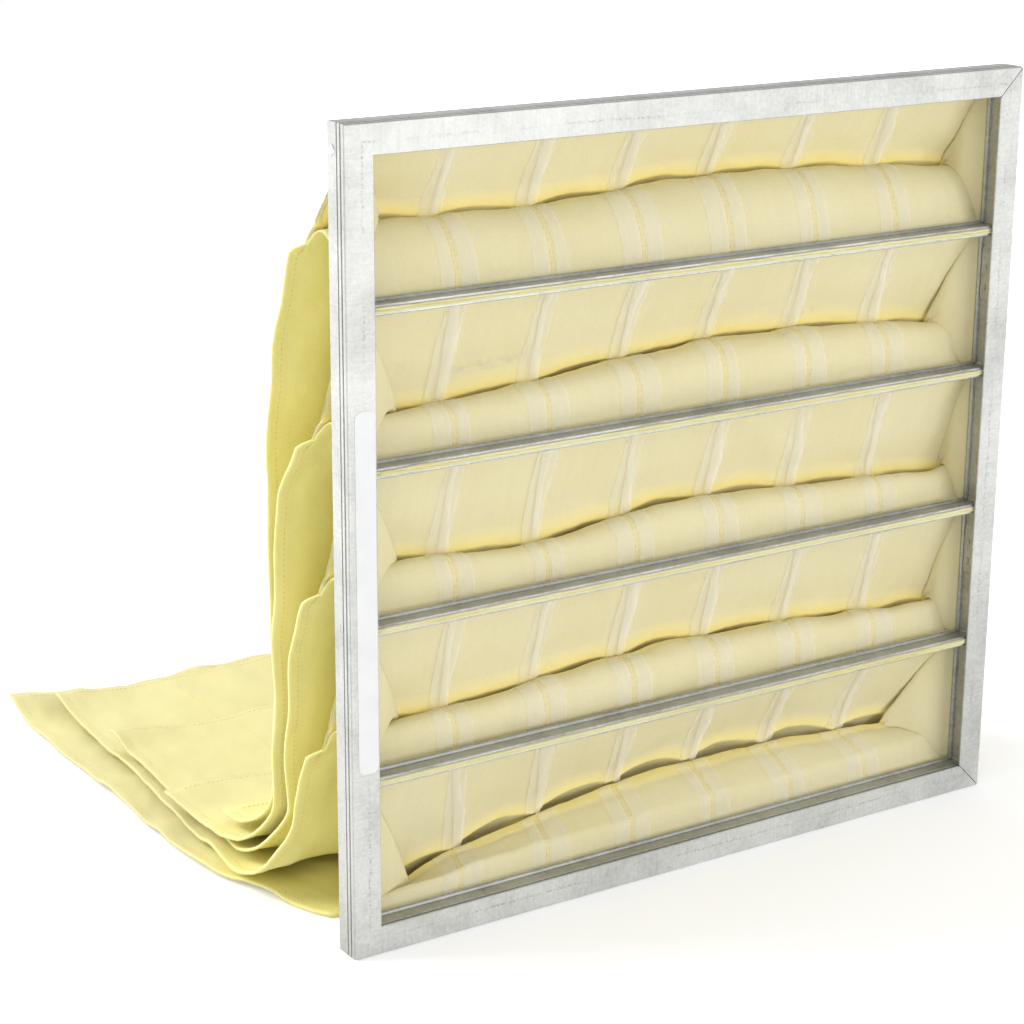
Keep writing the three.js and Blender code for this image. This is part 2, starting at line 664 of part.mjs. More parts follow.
// One spacer strip: along the lower panel to where the pocket closes, round, and back along the
// upper panel. Its rows are the cavity's own rows, so that it lies along the panels' facets.
function spacerStrip(pocket, strip) {
  const samples = samplePath(pocketPath(pocket));
  const centreX = (strip - (STRIP_COUNT - 1) / 2) * STRIP_PITCH;
  const distances = [];
  for (let row = 1; row < CAVITY_ROWS; row += 1) {
    distances.push((CREASE_REACH * row) / CAVITY_ROWS);
  }
  const corner = (distance, panel, lift, edge) => {
    const section = pocketSection(pocket, samples, distance);
    const share = (centreX + (edge * STRIP_WIDTH) / 2 - section.point.x) / section.halfWidth;
    return facetPoint(section, panel, share, -lift);
  };
  const turn = distances[distances.length - 1];
  const rows = [...distances.map((d) => [d, -1]), ...distances.map((d) => [d, 1]).reverse()];
  const loops = rows.map(([distance, panel]) => {
    const inside = distance === turn ? distance - STRIP_GAUGE : distance;
    return [
      corner(distance, panel, STRIP_LIFT, 1),
      corner(distance, panel, STRIP_LIFT, -1),
      corner(inside, panel, STRIP_LIFT + STRIP_GAUGE, -1),
      corner(inside, panel, STRIP_LIFT + STRIP_GAUGE, 1),
    ];
  });
  const { points, index } = loftLoops(loops);
  const last = (loops.length - 1) * 4;
  index.push(0, 2, 1, 0, 3, 2, last, last + 1, last + 2, last, last + 2, last + 3);
  return toGeometry({ points, index });
}

function named(name, geometry, material) {
  geometry.computeVertexNormals();
  const mesh = new THREE.Mesh(geometry, material);
  mesh.name = name;
  return mesh;
}

const filter = new THREE.Group();
filter.add(named("header_frame", headerFrame(), galvanised()));
filter.add(named("corner_rivet", cornerRivet(), rivetMetal()));
filter.add(named("label_blank", labelBlank(), labelPaper()));
for (let pocket = 0; pocket < POCKET_COUNT; pocket += 1) {
  const number = pocket + 1;
  filter.add(named(`pocket_ring_${number}`, pocketRing(pocket), ringSteel()));
  filter.add(named(`pocket_${number}`, pocketBag(pocket), pocketFabric()));
  for (let strip = 0; strip < STRIP_COUNT; strip += 1) {
    filter.add(named(`spacer_strip_${number}_${strip + 1}`, spacerStrip(pocket, strip), stripScrim()));
  }
}

export default filter;
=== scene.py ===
# Bag air filter: galvanised header with five limp fabric pockets that have fallen behind it.
# Lengths are in millimetres until a mesh is made, and a mesh is in metres.
import math
import random

import bpy
import numpy as np
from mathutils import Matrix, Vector, noise


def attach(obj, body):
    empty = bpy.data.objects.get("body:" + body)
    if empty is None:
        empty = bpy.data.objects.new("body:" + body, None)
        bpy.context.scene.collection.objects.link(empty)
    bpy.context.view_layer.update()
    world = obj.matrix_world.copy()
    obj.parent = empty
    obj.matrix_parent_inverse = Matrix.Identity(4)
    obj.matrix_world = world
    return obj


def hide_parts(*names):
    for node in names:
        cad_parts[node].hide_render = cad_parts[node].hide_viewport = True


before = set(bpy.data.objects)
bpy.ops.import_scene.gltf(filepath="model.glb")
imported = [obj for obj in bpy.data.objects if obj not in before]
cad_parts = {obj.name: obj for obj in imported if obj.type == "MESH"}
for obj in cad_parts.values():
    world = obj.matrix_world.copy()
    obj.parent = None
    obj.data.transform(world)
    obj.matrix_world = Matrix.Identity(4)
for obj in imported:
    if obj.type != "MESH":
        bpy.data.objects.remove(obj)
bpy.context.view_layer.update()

MM = 0.001

# Header and rings, as in the part
HEADER_SIZE = 492.0
HALF = HEADER_SIZE / 2
POCKET_COUNT = 5
RING_FRONT = -10.75
RING_REAR = 4.25
RING_WIDTH = 469.0
RING_HEIGHT = 90.0
MEDIA = 1.2
SEAT_GAP = 0.3
CUFF_GAP = 0.4
STACK_LIFT = 2.0
PITCH = RING_HEIGHT + 2 * (SEAT_GAP + MEDIA) + CUFF_GAP
CUFF_HALF_WIDTH = RING_WIDTH / 2 + SEAT_GAP + MEDIA / 2
CUFF_HALF_HEIGHT = RING_HEIGHT / 2 + SEAT_GAP + MEDIA / 2

# How the pockets fall, as in the part
POCKET_LENGTH = 520.0
SEAM_FLANGE = 9.0
CLOSED_HALF = 3.2
LAYER_GAP = 0.6
CREASE_REACH = 32.0
FALL_SWING = 40.0
FALL_DEPTH = 60.0
FALL_LEAN = 0.078
FALL_STATIONS = (0.12, 0.3, 0.6, 1.0)
LANDING_RADIUS = 32.0
LANDING_SHARE = 0.6
LANDING = ((0.35, 0.35), (1.0, 0.04), (1.8, 0.0), (3.0, 0.0))
MOUTH_SAG = 0.4
LYING_SPREAD = 25.0
SPREAD_BY = 190.0
SWAY = 3.5
SWAY_WAVES = 1.3
SWAY_START = 0.9
SIDE_DROP_POWER = 6
CREASE_DROPS = (5.0, 21.0, 32.0, 33.0, 22.0)
TAKEN_UP = (52.0, 72.0, 34.0, 4.0, 40.0)
DRIFTS = (8.0, 4.0, 22.0, 26.0, 0.0)
PINCHES = (-3.0, -3.0, -3.0, -3.0, 14.0)
SIDE_DROPS = (0.0, 0.0, 0.0, 0.0, 34.0)

# The fabric's own finer shape
CURTAIN_POWER = 1.5
ROLL_STARTS = (2.0, 7.0, 7.0, 8.0, 4.0)
ROLL_FORWARD = (5.0, 9.0, 8.0, 9.0, 6.0)
ROLL_POWERS = (2.1, 2.1, 2.1, 2.1, 3.4)
SLIT_OPEN = 1.2
SCALLOPS = (3.0, 2.5, 3.5, 2.5, 6.5)
SLIT_CLOSES_IN = 40.0
LAYER = 0.75
EDGE_SHARE = 0.3
# Height of each roll against its crease, at places across the pocket
RIDGE_X = (-235.0, -190.0, -100.0, 0.0, 100.0, 190.0, 235.0)
RIDGES = (
    (-2.0, 1.0, -1.0, 0.0, 1.0, 0.0, -2.0),
    (-9.0, -6.0, 0.0, 3.0, 4.0, 3.0, -3.0),
    (-3.0, 3.0, -2.0, 2.0, -2.0, -3.0, -5.0),
    (-6.0, -3.0, 2.0, 2.0, 0.0, -2.0, -4.0),
    (-14.0, -8.0, -1.0, 3.0, 4.0, 4.0, 0.0),
)
# How far the side of each pocket is tucked in at its crease, left and right, where it is deepest,
# and the share of it that lies under a panel before it turns into the seam
TUCK_PULL = 0.86
LYING_SHARE = 0.4
TUCK_DEEPEST = 27.0
TUCKS = ((46.0, 20.0), (54.0, 32.0), (52.0, 14.0), (52.0, 22.0), (50.0, 36.0))

# Heights of the folds, and how the end and the cut edge wander
HANGING_FOLDS = 10.0
LYING_FOLDS = 4.0
EDGE_FOLDS = 4.0
END_WAVE = 9.0
CORNER_CURLS = (4.0, 2.0, 8.0, 9.0, 12.0)
FLOOR_GAP = 0.75
# How far the buckling may move the fabric, at distances from the ring
MOVE_CAPS = ((0.0, 0.0), (4.0, 1.0), (13.0, 4.5), (25.0, 2.0), (34.0, 1.6), (80.0, 2.8), (500.0, 2.8))
# The cut edge that shows over the bars
BAR_HALF = 226.0
EDGE_WAVE = 2.5
EDGE_MORE_AT_RIGHT = 0.6
# Points across and along the fabric
COLUMNS = 96
PANEL_SHARES = np.sin(np.linspace(-1, 1, COLUMNS + 1) * 0.46 * np.pi) / math.sin(0.46 * np.pi)
SIDE_STEPS = 10
CUFF_ROWS = 6
MOUTH_ROW = 2.5
FALL_ROW = 6.5

# Tapes sewn between the two panels of each pocket, and their stitching
TAPE_COUNT = 6
TAPE_PITCH = 65.0
TAPE_STARTS = 2.0
TAPE_BAND = 10.5
TAPE_BESIDE_SEAM = 2.4
TAPE_OFF_FABRIC = 0.45
HANGING_WIDTH = 15.0
FOLDED_WIDTH = 7.0
STITCH_PITCH = 3.4
STITCH_LENGTH = 2.5
STITCH_WIDTH = 0.8
STITCH_HEIGHT = 0.45
ROW_APART = 2.4
SEAM_FROM_EDGE = 5.0

# Camera, in metres and degrees
CAMERA_AT = (-0.89634, -1.18437, 0.68854)
CAMERA_TURN = (72.88939697, -0.32022796, -32.83752505)
CAMERA_LENS = 88.35
SENSOR = 36.0


def smooth(low, high, value):
    share = np.clip((np.asarray(value, float) - low) / (high - low), 0.0, 1.0)
    return share * share * (3 - 2 * share)


def lerp(a, b, share):
    return a + (b - a) * share


def pocket_height(pocket):
    return HALF + STACK_LIFT + ((POCKET_COUNT - 1) / 2 - pocket) * PITCH


def fall_reach(depth):
    return CREASE_REACH + FALL_SWING * (1 - math.exp(-depth / FALL_DEPTH)) + FALL_LEAN * depth


# The path of a pocket's middle in the YZ plane, as control points
def path_points(pocket):
    mouth = pocket_height(pocket)
    rest = CLOSED_HALF + (POCKET_COUNT - 1 - pocket) * (2 * CLOSED_HALF + LAYER_GAP)
    crease = mouth - CREASE_DROPS[pocket]
    fall = crease - rest
    radius = min(LANDING_RADIUS, LANDING_SHARE * fall)
    foot = fall_reach(fall - radius)
    points = [
        (0.0, mouth),
        (CREASE_REACH / 2, mouth - MOUTH_SAG * CREASE_DROPS[pocket]),
        (CREASE_REACH, crease),
    ]
    for share in FALL_STATIONS:
        depth = share * (fall - radius)
        points.append((fall_reach(depth), crease - depth))
    for reach, height in LANDING:
        points.append((foot + reach * radius, rest + height * radius))
    points.append((foot + LANDING[-1][0] * radius + POCKET_LENGTH, rest))
    return np.array([(RING_REAR + reach, z) for reach, z in points])


# A centripetal curve through the points, sampled closely
def curve_through(points, steps=60):
    points = np.vstack([2 * points[0] - points[1], points, 2 * points[-1] - points[-2]])
    found = []
    for i in range(1, len(points) - 2):
        p0, p1, p2, p3 = points[i - 1], points[i], points[i + 1], points[i + 2]
        d0 = math.sqrt(np.linalg.norm(p1 - p0))
        d1 = math.sqrt(np.linalg.norm(p2 - p1))
        d2 = math.sqrt(np.linalg.norm(p3 - p2))
        t1 = ((p1 - p0) / d0 - (p2 - p0) / (d0 + d1) + (p2 - p1) / d1) * d1
        t2 = ((p2 - p1) / d1 - (p3 - p1) / (d1 + d2) + (p3 - p2) / d2) * d1
        for step in range(steps):
            t = step / steps
            cubic = (2 * p1 - 2 * p2 + t1 + t2) * t**3 + (-3 * p1 + 3 * p2 - 2 * t1 - t2) * t**2
            found.append(cubic + t1 * t + p1)
    found.append(points[-2])
    return np.array(found)


def row_distances(pocket):
    end = POCKET_LENGTH - TAKEN_UP[pocket]
    fine_end = CREASE_REACH + 40.0
    cuff = np.linspace(RING_FRONT - RING_REAR - 0.9, 0.0, CUFF_ROWS)
    mouth = np.arange(MOUTH_ROW, fine_end, MOUTH_ROW)
    fall = np.linspace(fine_end, end, int((end - fine_end) / FALL_ROW))
    return np.concatenate([cuff, mouth, fall])


# How far the panels stand apart at a share of the width: nothing at a tape, and 1 between tapes
def between_tapes(share):
    phase = share * CUFF_HALF_WIDTH / TAPE_PITCH + TAPE_COUNT / 2 + 0.5
    return math.sin(math.pi * (phase % 1)) ** 0.8 * (1 - share**8)


# One pocket's fabric as a grid of points: rows run from the ring to the sewn end, and each row is a
# loop over the upper panel, down the right side, back along the lower panel and up the left side
def pocket_grid(pocket):
    s = row_distances(pocket)
    curve = curve_through(path_points(pocket))
    steps = np.linalg.norm(np.diff(curve, axis=0), axis=1)
    length = np.concatenate([[0.0], np.cumsum(steps)])
    y = np.where(s < 0, RING_REAR + s, np.interp(s, length, curve[:, 0]))
    z = np.where(s < 0, pocket_height(pocket), np.interp(s, length, curve[:, 1]))
    tangent = np.gradient(curve, length, axis=0)
    ty = np.interp(s, length, tangent[:, 0])
    tz = np.interp(s, length, tangent[:, 1])
    closing = np.clip(s / CREASE_REACH, 0, 1)
    turned = smooth(0.6 * CREASE_REACH, 1.5 * CREASE_REACH, s)
    across = np.stack([-tz * turned, 1 - turned + ty * turned], axis=1)
    across /= np.linalg.norm(across, axis=1)[:, None]
    low = 1 - smooth(CLOSED_HALF, pocket_height(POCKET_COUNT - 1), z)
    lying = low * smooth(CREASE_REACH, SPREAD_BY, s)
    end = POCKET_LENGTH - TAKEN_UP[pocket]
    drift = DRIFTS[pocket] * smooth(CREASE_REACH, end, s)
    half_width = CUFF_HALF_WIDTH + lerp(-PINCHES[pocket] * closing, LYING_SPREAD, lying)
    edge_share = lerp(1.0, EDGE_SHARE, closing)
    shut = smooth(CREASE_REACH, CREASE_REACH + SLIT_CLOSES_IN, s)
    open_slit = lerp(SLIT_OPEN, LAYER, shut)
    upper_gap = open_slit + (CUFF_HALF_HEIGHT - SLIT_OPEN) * (1 - closing**CURTAIN_POWER)
    starts = ROLL_STARTS[pocket]
    rolling = np.clip((s - starts) / (CREASE_REACH - starts), 0, 1)
    lower_gap = LAYER + (CUFF_HALF_HEIGHT - LAYER) * (1 - rolling) ** ROLL_POWERS[pocket]
    forward = ROLL_FORWARD[pocket] * np.sin(np.pi * rolling**0.8)
    if pocket == POCKET_COUNT - 1:
        risen = 0.66 * smooth(2, 12, s) + 0.34 * smooth(9, CREASE_REACH, s)
        crease_up = CUFF_HALF_HEIGHT - CREASE_DROPS[pocket]
        below = z - pocket_height(pocket) + CUFF_HALF_HEIGHT - risen * crease_up
        lower_gap = np.where(s < CREASE_REACH, np.maximum(below, LAYER), LAYER)
    scallop = SCALLOPS[pocket] * smooth(0.5 * CREASE_REACH, CREASE_REACH, s) * (1 - shut)
    tucking = np.clip(s / TUCK_DEEPEST, 0, 1) ** 0.75 * (1 - smooth(TUCK_DEEPEST + 4, TUCK_DEEPEST + 26, s))
    ridging = smooth(0, CREASE_REACH, s) * (1 - smooth(CREASE_REACH + 15, CREASE_REACH + 80, s))
    flange = SEAM_FLANGE * smooth(0.3, 1, closing)
    side_drop = np.minimum(SIDE_DROPS[pocket] * closing, np.maximum(z - CLOSED_HALF, 0))
    sway = SWAY * closing * (1 - low)

    def place(share, x, height, back):
        """Points of every row at one share of the width, at a height off the middle."""
        wave = sway * math.sin(SWAY_WAVES * math.pi * share + SWAY_START)
        drop = side_drop * max(0.0, -share) ** SIDE_DROP_POWER
        ridge = ridging * np.interp(share * CUFF_HALF_WIDTH, RIDGE_X, RIDGES[pocket])
        return np.stack(
            [
                x + drift,
                y + across[:, 0] * (height + wave) - back,
                z + across[:, 1] * (height + wave) - drop + ridge,
            ],
            axis=1,
        )

    columns = []
    bed = 1.8 * tucking
    for share in PANEL_SHARES:
        bulge = lerp(edge_share, 1.0, 1 - abs(share) ** 4)
        height = upper_gap * bulge + bed * smooth(0.75, 0.9, abs(share))
        height = height + scallop * between_tapes(share)
        columns.append(place(share, share * half_width, height, 0))

    def side(sign, upper):
        tuck = TUCKS[pocket][0 if sign < 0 else 1] * tucking
        gap = upper_gap if upper else lower_gap
        at_edge = gap * edge_share + bed
        under_panel = at_edge - np.minimum(1.6 * tucking, 0.5 * at_edge)
        found = []
        for step in range(1, SIDE_STEPS + 1):
            share = step / SIDE_STEPS
            lying = min(share / LYING_SHARE, 1)
            turning = max(share - LYING_SHARE, 0) / (1 - LYING_SHARE) * math.pi / 2
            height = lerp(lerp(at_edge, under_panel, lying), 0.7 * LAYER, 1 - math.cos(turning))
            inward = tuck * (TUCK_PULL * lying + (1 - TUCK_PULL) * math.sin(turning))
            out = sign * (half_width + flange * share - inward)
            found.append(place(sign, out, height if upper else -height, 0))
        return found

    columns += side(1, True) + side(1, False)[::-1]
    for share in PANEL_SHARES[::-1]:
        bulge = lerp(edge_share, 1.0, 1 - abs(share) ** 4)
        height = lower_gap * bulge + bed * smooth(0.75, 0.9, abs(share))
        columns.append(place(share, share * half_width, -height, forward * (1 - share**6)))
    columns += side(-1, False) + side(-1, True)[::-1]
    grid = np.stack(columns, axis=1)
    hang_in_folds(s, low, grid)
    shape_end(pocket, s, grid)
    wavy_cut(pocket, s, grid)
    return s, keep_off_floor(grid)


# Broad folds, the same for every pocket, so that the layers that lie on each other stay apart
def hang_in_folds(s, low, grid):
    free = smooth(CREASE_REACH + 5, CREASE_REACH + 70, s)
    for row in range(len(s)):
        if free[row] == 0:
            continue
        for column in range(grid.shape[1]):
            x, y, z = grid[row, column]
            edge = smooth(0.7, 1.0, abs(x) / CUFF_HALF_WIDTH)
            hanging = noise.noise(Vector((x / 52, z / 170, 3)))
            broad = noise.noise(Vector((x / 80, y / 95, 8)))
            lying = broad + 0.4 * noise.noise(Vector((x / 30, y / 35, 2)))
            edging = noise.noise(Vector((z / 38, y / 38, 5 if x < 0 else 6)))
            push = (1 - low[row]) * (HANGING_FOLDS * hanging + EDGE_FOLDS * edge * edging)
            grid[row, column, 1] += free[row] * push
            lift = low[row] * (LYING_FOLDS * max(lying + 0.35, 0) + EDGE_FOLDS * edge * max(edging, 0))
            grid[row, column, 2] += free[row] * lift


# The sewn end is not quite straight, and its left corner curls up
def shape_end(pocket, s, grid):
    near_end = smooth(s[-1] - 90, s[-1], s)
    for column in range(grid.shape[1]):
        x = grid[-1, column, 0]
        grid[:, column, 1] += near_end * END_WAVE * noise.noise(Vector((x / 90, pocket * 4.1, 7)))
    across = (grid[-1, :, 0].max() - grid[-1, :, 0]) / np.ptp(grid[-1, :, 0])
    curl = smooth(0.86, 1.0, across) * CORNER_CURLS[pocket]
    grid[:, :, 2] += smooth(s[-1] - 45, s[-1], s)[:, None] ** 2 * curl


# The lower panel lies on the floor and the upper one lies on it
def keep_off_floor(grid):
    lowest = np.full(grid.shape[1], FLOOR_GAP)
    lowest[: COLUMNS + 1] += 2 * LAYER
    lowest[COLUMNS + 1 : COLUMNS + 1 + SIDE_STEPS] += 2 * LAYER
    lowest[-SIDE_STEPS:] += 2 * LAYER
    grid[:, :, 2] = np.maximum(grid[:, :, 2], lowest)
    return grid


# The cut edge in front of the ring waves in and out, and most towards the right
def wavy_cut(pocket, s, grid):
    x = grid[0, :, 0]
    upper = grid[0, :, 2] > pocket_height(pocket)
    at_bar = (np.abs(x) < BAR_HALF) & ~(upper & (pocket == 0)) & (upper | (pocket < POCKET_COUNT - 1))
    front = (1 - smooth(s[0], s[2], s)[:, None]) * at_bar
    waves = np.array([noise.noise(Vector((v / 26, pocket * 5.1 + 9.7 * u, 0))) for v, u in zip(x, upper)])
    fine = np.array([noise.noise(Vector((v / 7, pocket * 3.3 + 4.9 * u, 1))) for v, u in zip(x, upper)])
    more = 1 + EDGE_MORE_AT_RIGHT * smooth(120, 215, x)
    grid[:, :, 1] -= front * (EDGE_WAVE * np.maximum(waves + 0.25, 0) + 0.5 * fine + 0.3) * more
    grid[:, :, 2] += front * 0.8 * (waves + 0.6 * fine) * more


# The outward direction of the fabric at each point of its grid
def grid_normals(grid):
    along = np.gradient(grid, axis=0)
    around = np.roll(grid, -1, axis=1) - np.roll(grid, 1, axis=1)
    normals = np.cross(around, along)
    return normals / np.maximum(np.linalg.norm(normals, axis=2, keepdims=True), 1e-9)


# The column at a share of the width, from -1 at the left to 1 at the right
def column_at(share, upper):
    place = np.interp(share, PANEL_SHARES, np.arange(COLUMNS + 1))
    return place if upper else 2 * COLUMNS + 1 + 2 * SIDE_STEPS - place


# Points and outward directions of the fabric at distances from the ring and at columns
def fabric_at(piece, distances, columns):
    grid, normals = piece["grid"], piece["normals"]
    row = np.interp(distances, piece["rows"], np.arange(len(piece["rows"])))
    row_low = np.minimum(np.floor(row).astype(int), grid.shape[0] - 2)
    row_share = (row - row_low)[..., None]
    columns = np.broadcast_to(columns, np.shape(distances))
    col_low = np.floor(columns).astype(int)
    col_share = (columns - col_low)[..., None]
    col_next = (col_low + 1) % grid.shape[1]
    found = []
    for values in (grid, normals):
        near = lerp(values[row_low, col_low], values[row_low, col_next], col_share)
        far = lerp(values[row_low + 1, col_low], values[row_low + 1, col_next], col_share)
        found.append(lerp(near, far, row_share))
    return found


# For each place on a row's loop, the place on the other panel that it lies against
def partner_places():
    panel = COLUMNS + 1
    side = 2 * SIDE_STEPS
    upper = np.arange(panel)
    right = panel + np.arange(side)
    lower = panel + side + np.arange(panel)
    left = 2 * panel + side + np.arange(side)
    partner = np.zeros(2 * panel + 2 * side, int)
    partner[upper] = lower[::-1]
    partner[lower] = upper[::-1]
    partner[right] = right[::-1]
    partner[left] = left[::-1]
    return partner


def mesh_object(name, points, faces, materials):
    mesh = bpy.data.meshes.new(name)
    mesh.from_pydata((np.asarray(points, float) * MM).tolist(), [], faces)
    for material in materials:
        mesh.materials.append(material)
    mesh.shade_smooth()
    mesh.update()
    obj = bpy.data.objects.new(name, mesh)
    bpy.context.scene.collection.objects.link(obj)
    return obj


def loop_faces(rows, around):
    faces = []
    for row in range(rows - 1):
        for i in range(around):
            j = (i + 1) % around
            a, b = row * around + i, row * around + j
            faces.append((a, b, b + around, a + around))
    return faces


# How deep in a fold each point lies: along the crease, and in the hollows of the fabric behind it; this is
# the mask for the painted gold light in the creases
def fold_shares(piece):
    s, grid = piece["rows"], piece["grid"]
    beside = (np.roll(grid, 3, axis=1) + np.roll(grid, -3, axis=1)) / 2 - grid
    hollow = np.clip(np.sum(beside * piece["normals"], axis=2) / FOLD_FULL, 0, 1)
    crease = np.exp(-(((s - CREASE_REACH) / 2.0) ** 2))[:, None]
    behind = smooth(CREASE_REACH + 4, CREASE_REACH + 12, s)[:, None]
    return np.maximum(crease, behind * hollow)


# Small ripples that give the fabric somewhere to buckle
def ripple(points, seed, size, height):
    shift = Vector((seed * 7.3, seed * 3.1, seed * 5.7))
    found = np.empty(len(points))
    for i, point in enumerate(points):
        found[i] = noise.noise(Vector(point) / size + shift)
    return found * height


# How the cloth behaves while it settles
CLOTH = {
    "quality": 4,
    "mass": 0.12,
    "tension_stiffness": 20,
    "compression_stiffness": 20,
    "shear_stiffness": 8,
    "bending_stiffness": 1.2,
    "vertex_group_mass": "hold",
    "pin_stiffness": 1.0,
    "shrink_min": -0.05,
}
CLOTH_GRAVITY = 0.15


# Lets the fabric of all the pockets grow a little while it is held softly in place, so that it
# buckles into creases
def buckle(pockets, frames=12):
    for piece in pockets:
        obj = piece["object"]
        group = obj.vertex_groups.new(name="hold")
        hold = piece["hold"]
        for level in np.unique(hold):
            group.add(np.nonzero(hold == level)[0].tolist(), float(level), "REPLACE")
        cloth = obj.modifiers.new("cloth", "CLOTH")
        settings = cloth.settings
        for setting, value in CLOTH.items():
            setattr(settings, setting, value)
        settings.effector_weights.gravity = CLOTH_GRAVITY
        cloth.collision_settings.use_collision = False
        cloth.collision_settings.use_self_collision = False
        cloth.point_cache.frame_start = 1
        cloth.point_cache.frame_end = frames
    scene = bpy.context.scene
    for step in range(1, frames + 1):
        scene.frame_set(step)
    graph = bpy.context.evaluated_depsgraph_get()
    for piece in pockets:
        obj = piece["object"]
        settled = obj.evaluated_get(graph).to_mesh()
        points = np.empty(len(settled.vertices) * 3, np.float32)
        settled.vertices.foreach_get("co", points)
        piece["settled"] = points.reshape(-1, 3).astype(float) / MM
        obj.evaluated_get(graph).to_mesh_clear()
        obj.modifiers.remove(obj.modifiers["cloth"])
        obj.vertex_groups.remove(obj.vertex_groups["hold"])
    scene.frame_set(1)


# Keeps the buckled fabric near where it lay, and moves closed panels together
def take_settled(piece):
    s, grid = piece["rows"], piece["grid"]
    moved = piece["settled"].reshape(grid.shape) - grid
    moved[:, :, 0] *= 0.3
    together = smooth(CREASE_REACH + 10, CREASE_REACH + 50, s)[:, None, None]
    moved = lerp(moved, (moved + moved[:, piece["partner"]]) / 2, together)
    cap = np.interp(s, [p for p, _ in MOVE_CAPS], [c for _, c in MOVE_CAPS])[:, None, None]
    size = np.linalg.norm(moved, axis=2, keepdims=True)
    grid = grid + moved * np.minimum(1, cap / np.maximum(size, 1e-6))
    return keep_off_floor(grid)


def build_pockets():
    partner = partner_places()
    pockets = []
    for pocket in range(POCKET_COUNT):
        s, grid = pocket_grid(pocket)
        rows, around = grid.shape[:2]
        flat = grid.reshape(-1, 3)
        free = (smooth(0, 12, s)[:, None] * np.ones(around)).reshape(-1)
        bumps = ripple(flat, pocket + 1, 30.0, 2.2) + ripple(flat, pocket + 11, 12.0, 0.8)
        flat = flat + np.stack([0 * bumps, 0.5 * bumps, 0.8 * bumps], axis=1) * free[:, None]
        grid = keep_off_floor(flat.reshape(grid.shape))
        obj = mesh_object(f"pocket_cloth_{pocket + 1}", flat, loop_faces(rows, around), [])
        slack = np.clip(0.02 + 0.9 * (1 - free), 0, 1)
        pockets.append(
            {
                "number": pocket + 1,
                "object": obj,
                "rows": s,
                "grid": grid,
                "partner": partner,
                "hold": np.round(slack, 2),
            }
        )
    buckle(pockets)
    for piece in pockets:
        piece["grid"] = take_settled(piece)
    for piece in pockets:
        piece["object"].data.vertices.foreach_set("co", (piece["grid"] * MM).astype(np.float32).ravel())
        piece["object"].data.update()
    return pockets


# Adds one short raised stitch for each step along a line of points
def add_stitches(points, normals, lift, vertices, faces):
    steps = np.linalg.norm(np.diff(points, axis=0), axis=1)
    length = np.concatenate([[0.0], np.cumsum(steps)])
    at = np.arange(STITCH_PITCH / 2, length[-1] - STITCH_LENGTH, STITCH_PITCH)

    def along(values, where):
        return np.stack([np.interp(where, length, values[:, axis]) for axis in range(3)], axis=1)

    half = STITCH_LENGTH / 2
    start, end = along(points, at - half), along(points, at + half)
    normal = along(normals, at)
    sideways = np.cross(end - start, normal)
    sideways *= STITCH_WIDTH / 2 / np.maximum(np.linalg.norm(sideways, axis=1), 1e-9)[:, None]
    middle = (start + end) / 2 + normal * lift
    for i in range(len(at)):
        first = len(vertices)
        vertices.extend([start[i] + normal[i] * lift, middle[i] + sideways[i], end[i] + normal[i] * lift])
        vertices.extend([middle[i] - sideways[i], middle[i] + normal[i] * STITCH_HEIGHT])
        for a in range(4):
            faces.append((first + a, first + (a + 1) % 4, first + 4))


# All the stitching of one pocket: its side and end seams, and the rows that hold the tapes
def build_stitching(piece, material):
    vertices, faces = [], []
    s = piece["rows"]
    end = s[-1]
    outside = MEDIA / 2 + 0.15
    seam_step = SIDE_STEPS * (1 - SEAM_FROM_EDGE / SEAM_FLANGE)
    down_side = np.arange(CREASE_REACH + 8, end - SEAM_FROM_EDGE, STITCH_PITCH / 2)
    panel = COLUMNS + 1
    side = 2 * SIDE_STEPS
    corners = (panel - 1, panel + side, 2 * panel + side - 1, 2 * panel + 2 * side)
    for corner, step in zip(corners, (seam_step, -seam_step, seam_step, -seam_step)):
        column = (corner + step) % (2 * panel + 2 * side)
        add_stitches(*fabric_at(piece, down_side, column), outside, vertices, faces)
    for upper in (True, False):
        columns = column_at(np.linspace(-0.99, 0.99, 240), upper)
        across = np.full(240, end - SEAM_FROM_EDGE)
        add_stitches(*fabric_at(piece, across, columns), outside, vertices, faces)
        for tape in range(TAPE_COUNT):
            x = (tape - (TAPE_COUNT - 1) / 2) * TAPE_PITCH
            in_mouth = np.arange(TAPE_STARTS, CREASE_REACH + 2, STITCH_PITCH / 3)
            for row in (-0.5, 0.5):
                share = (x + row * ROW_APART) / CUFF_HALF_WIDTH
                points, normals = fabric_at(piece, in_mouth, column_at(share, upper))
                add_stitches(points, -normals, outside, vertices, faces)
            down = np.arange(TAPE_STARTS, end - 12, STITCH_PITCH / 2)
            column = column_at(x / CUFF_HALF_WIDTH, upper)
            add_stitches(*fabric_at(piece, down, column), outside, vertices, faces)
    return mesh_object(f"pocket_stitching_{piece['number']}", vertices, faces, [material])


# A ribbon of tape that lies just off the inside of a panel
def add_ribbon(piece, upper, distances, left, right, lift, vertices, faces):
    across = 5
    first = len(vertices)
    for step in range(across):
        share = step / (across - 1)
        x = lerp(left, right, share)
        columns = np.interp(x / CUFF_HALF_WIDTH, PANEL_SHARES, np.arange(COLUMNS + 1))
        if not upper:
            columns = 2 * COLUMNS + 1 + 2 * SIDE_STEPS - columns
        points, normals = fabric_at(piece, distances, columns)
        off = MEDIA / 2 + TAPE_OFF_FABRIC + lift(share, distances)
        vertices.extend(points - normals * off[:, None])
    rows = len(distances)
    for step in range(across - 1):
        for row in range(rows - 1):
            a = first + step * rows + row
            faces.append((a, a + 1, a + rows + 1, a + rows))


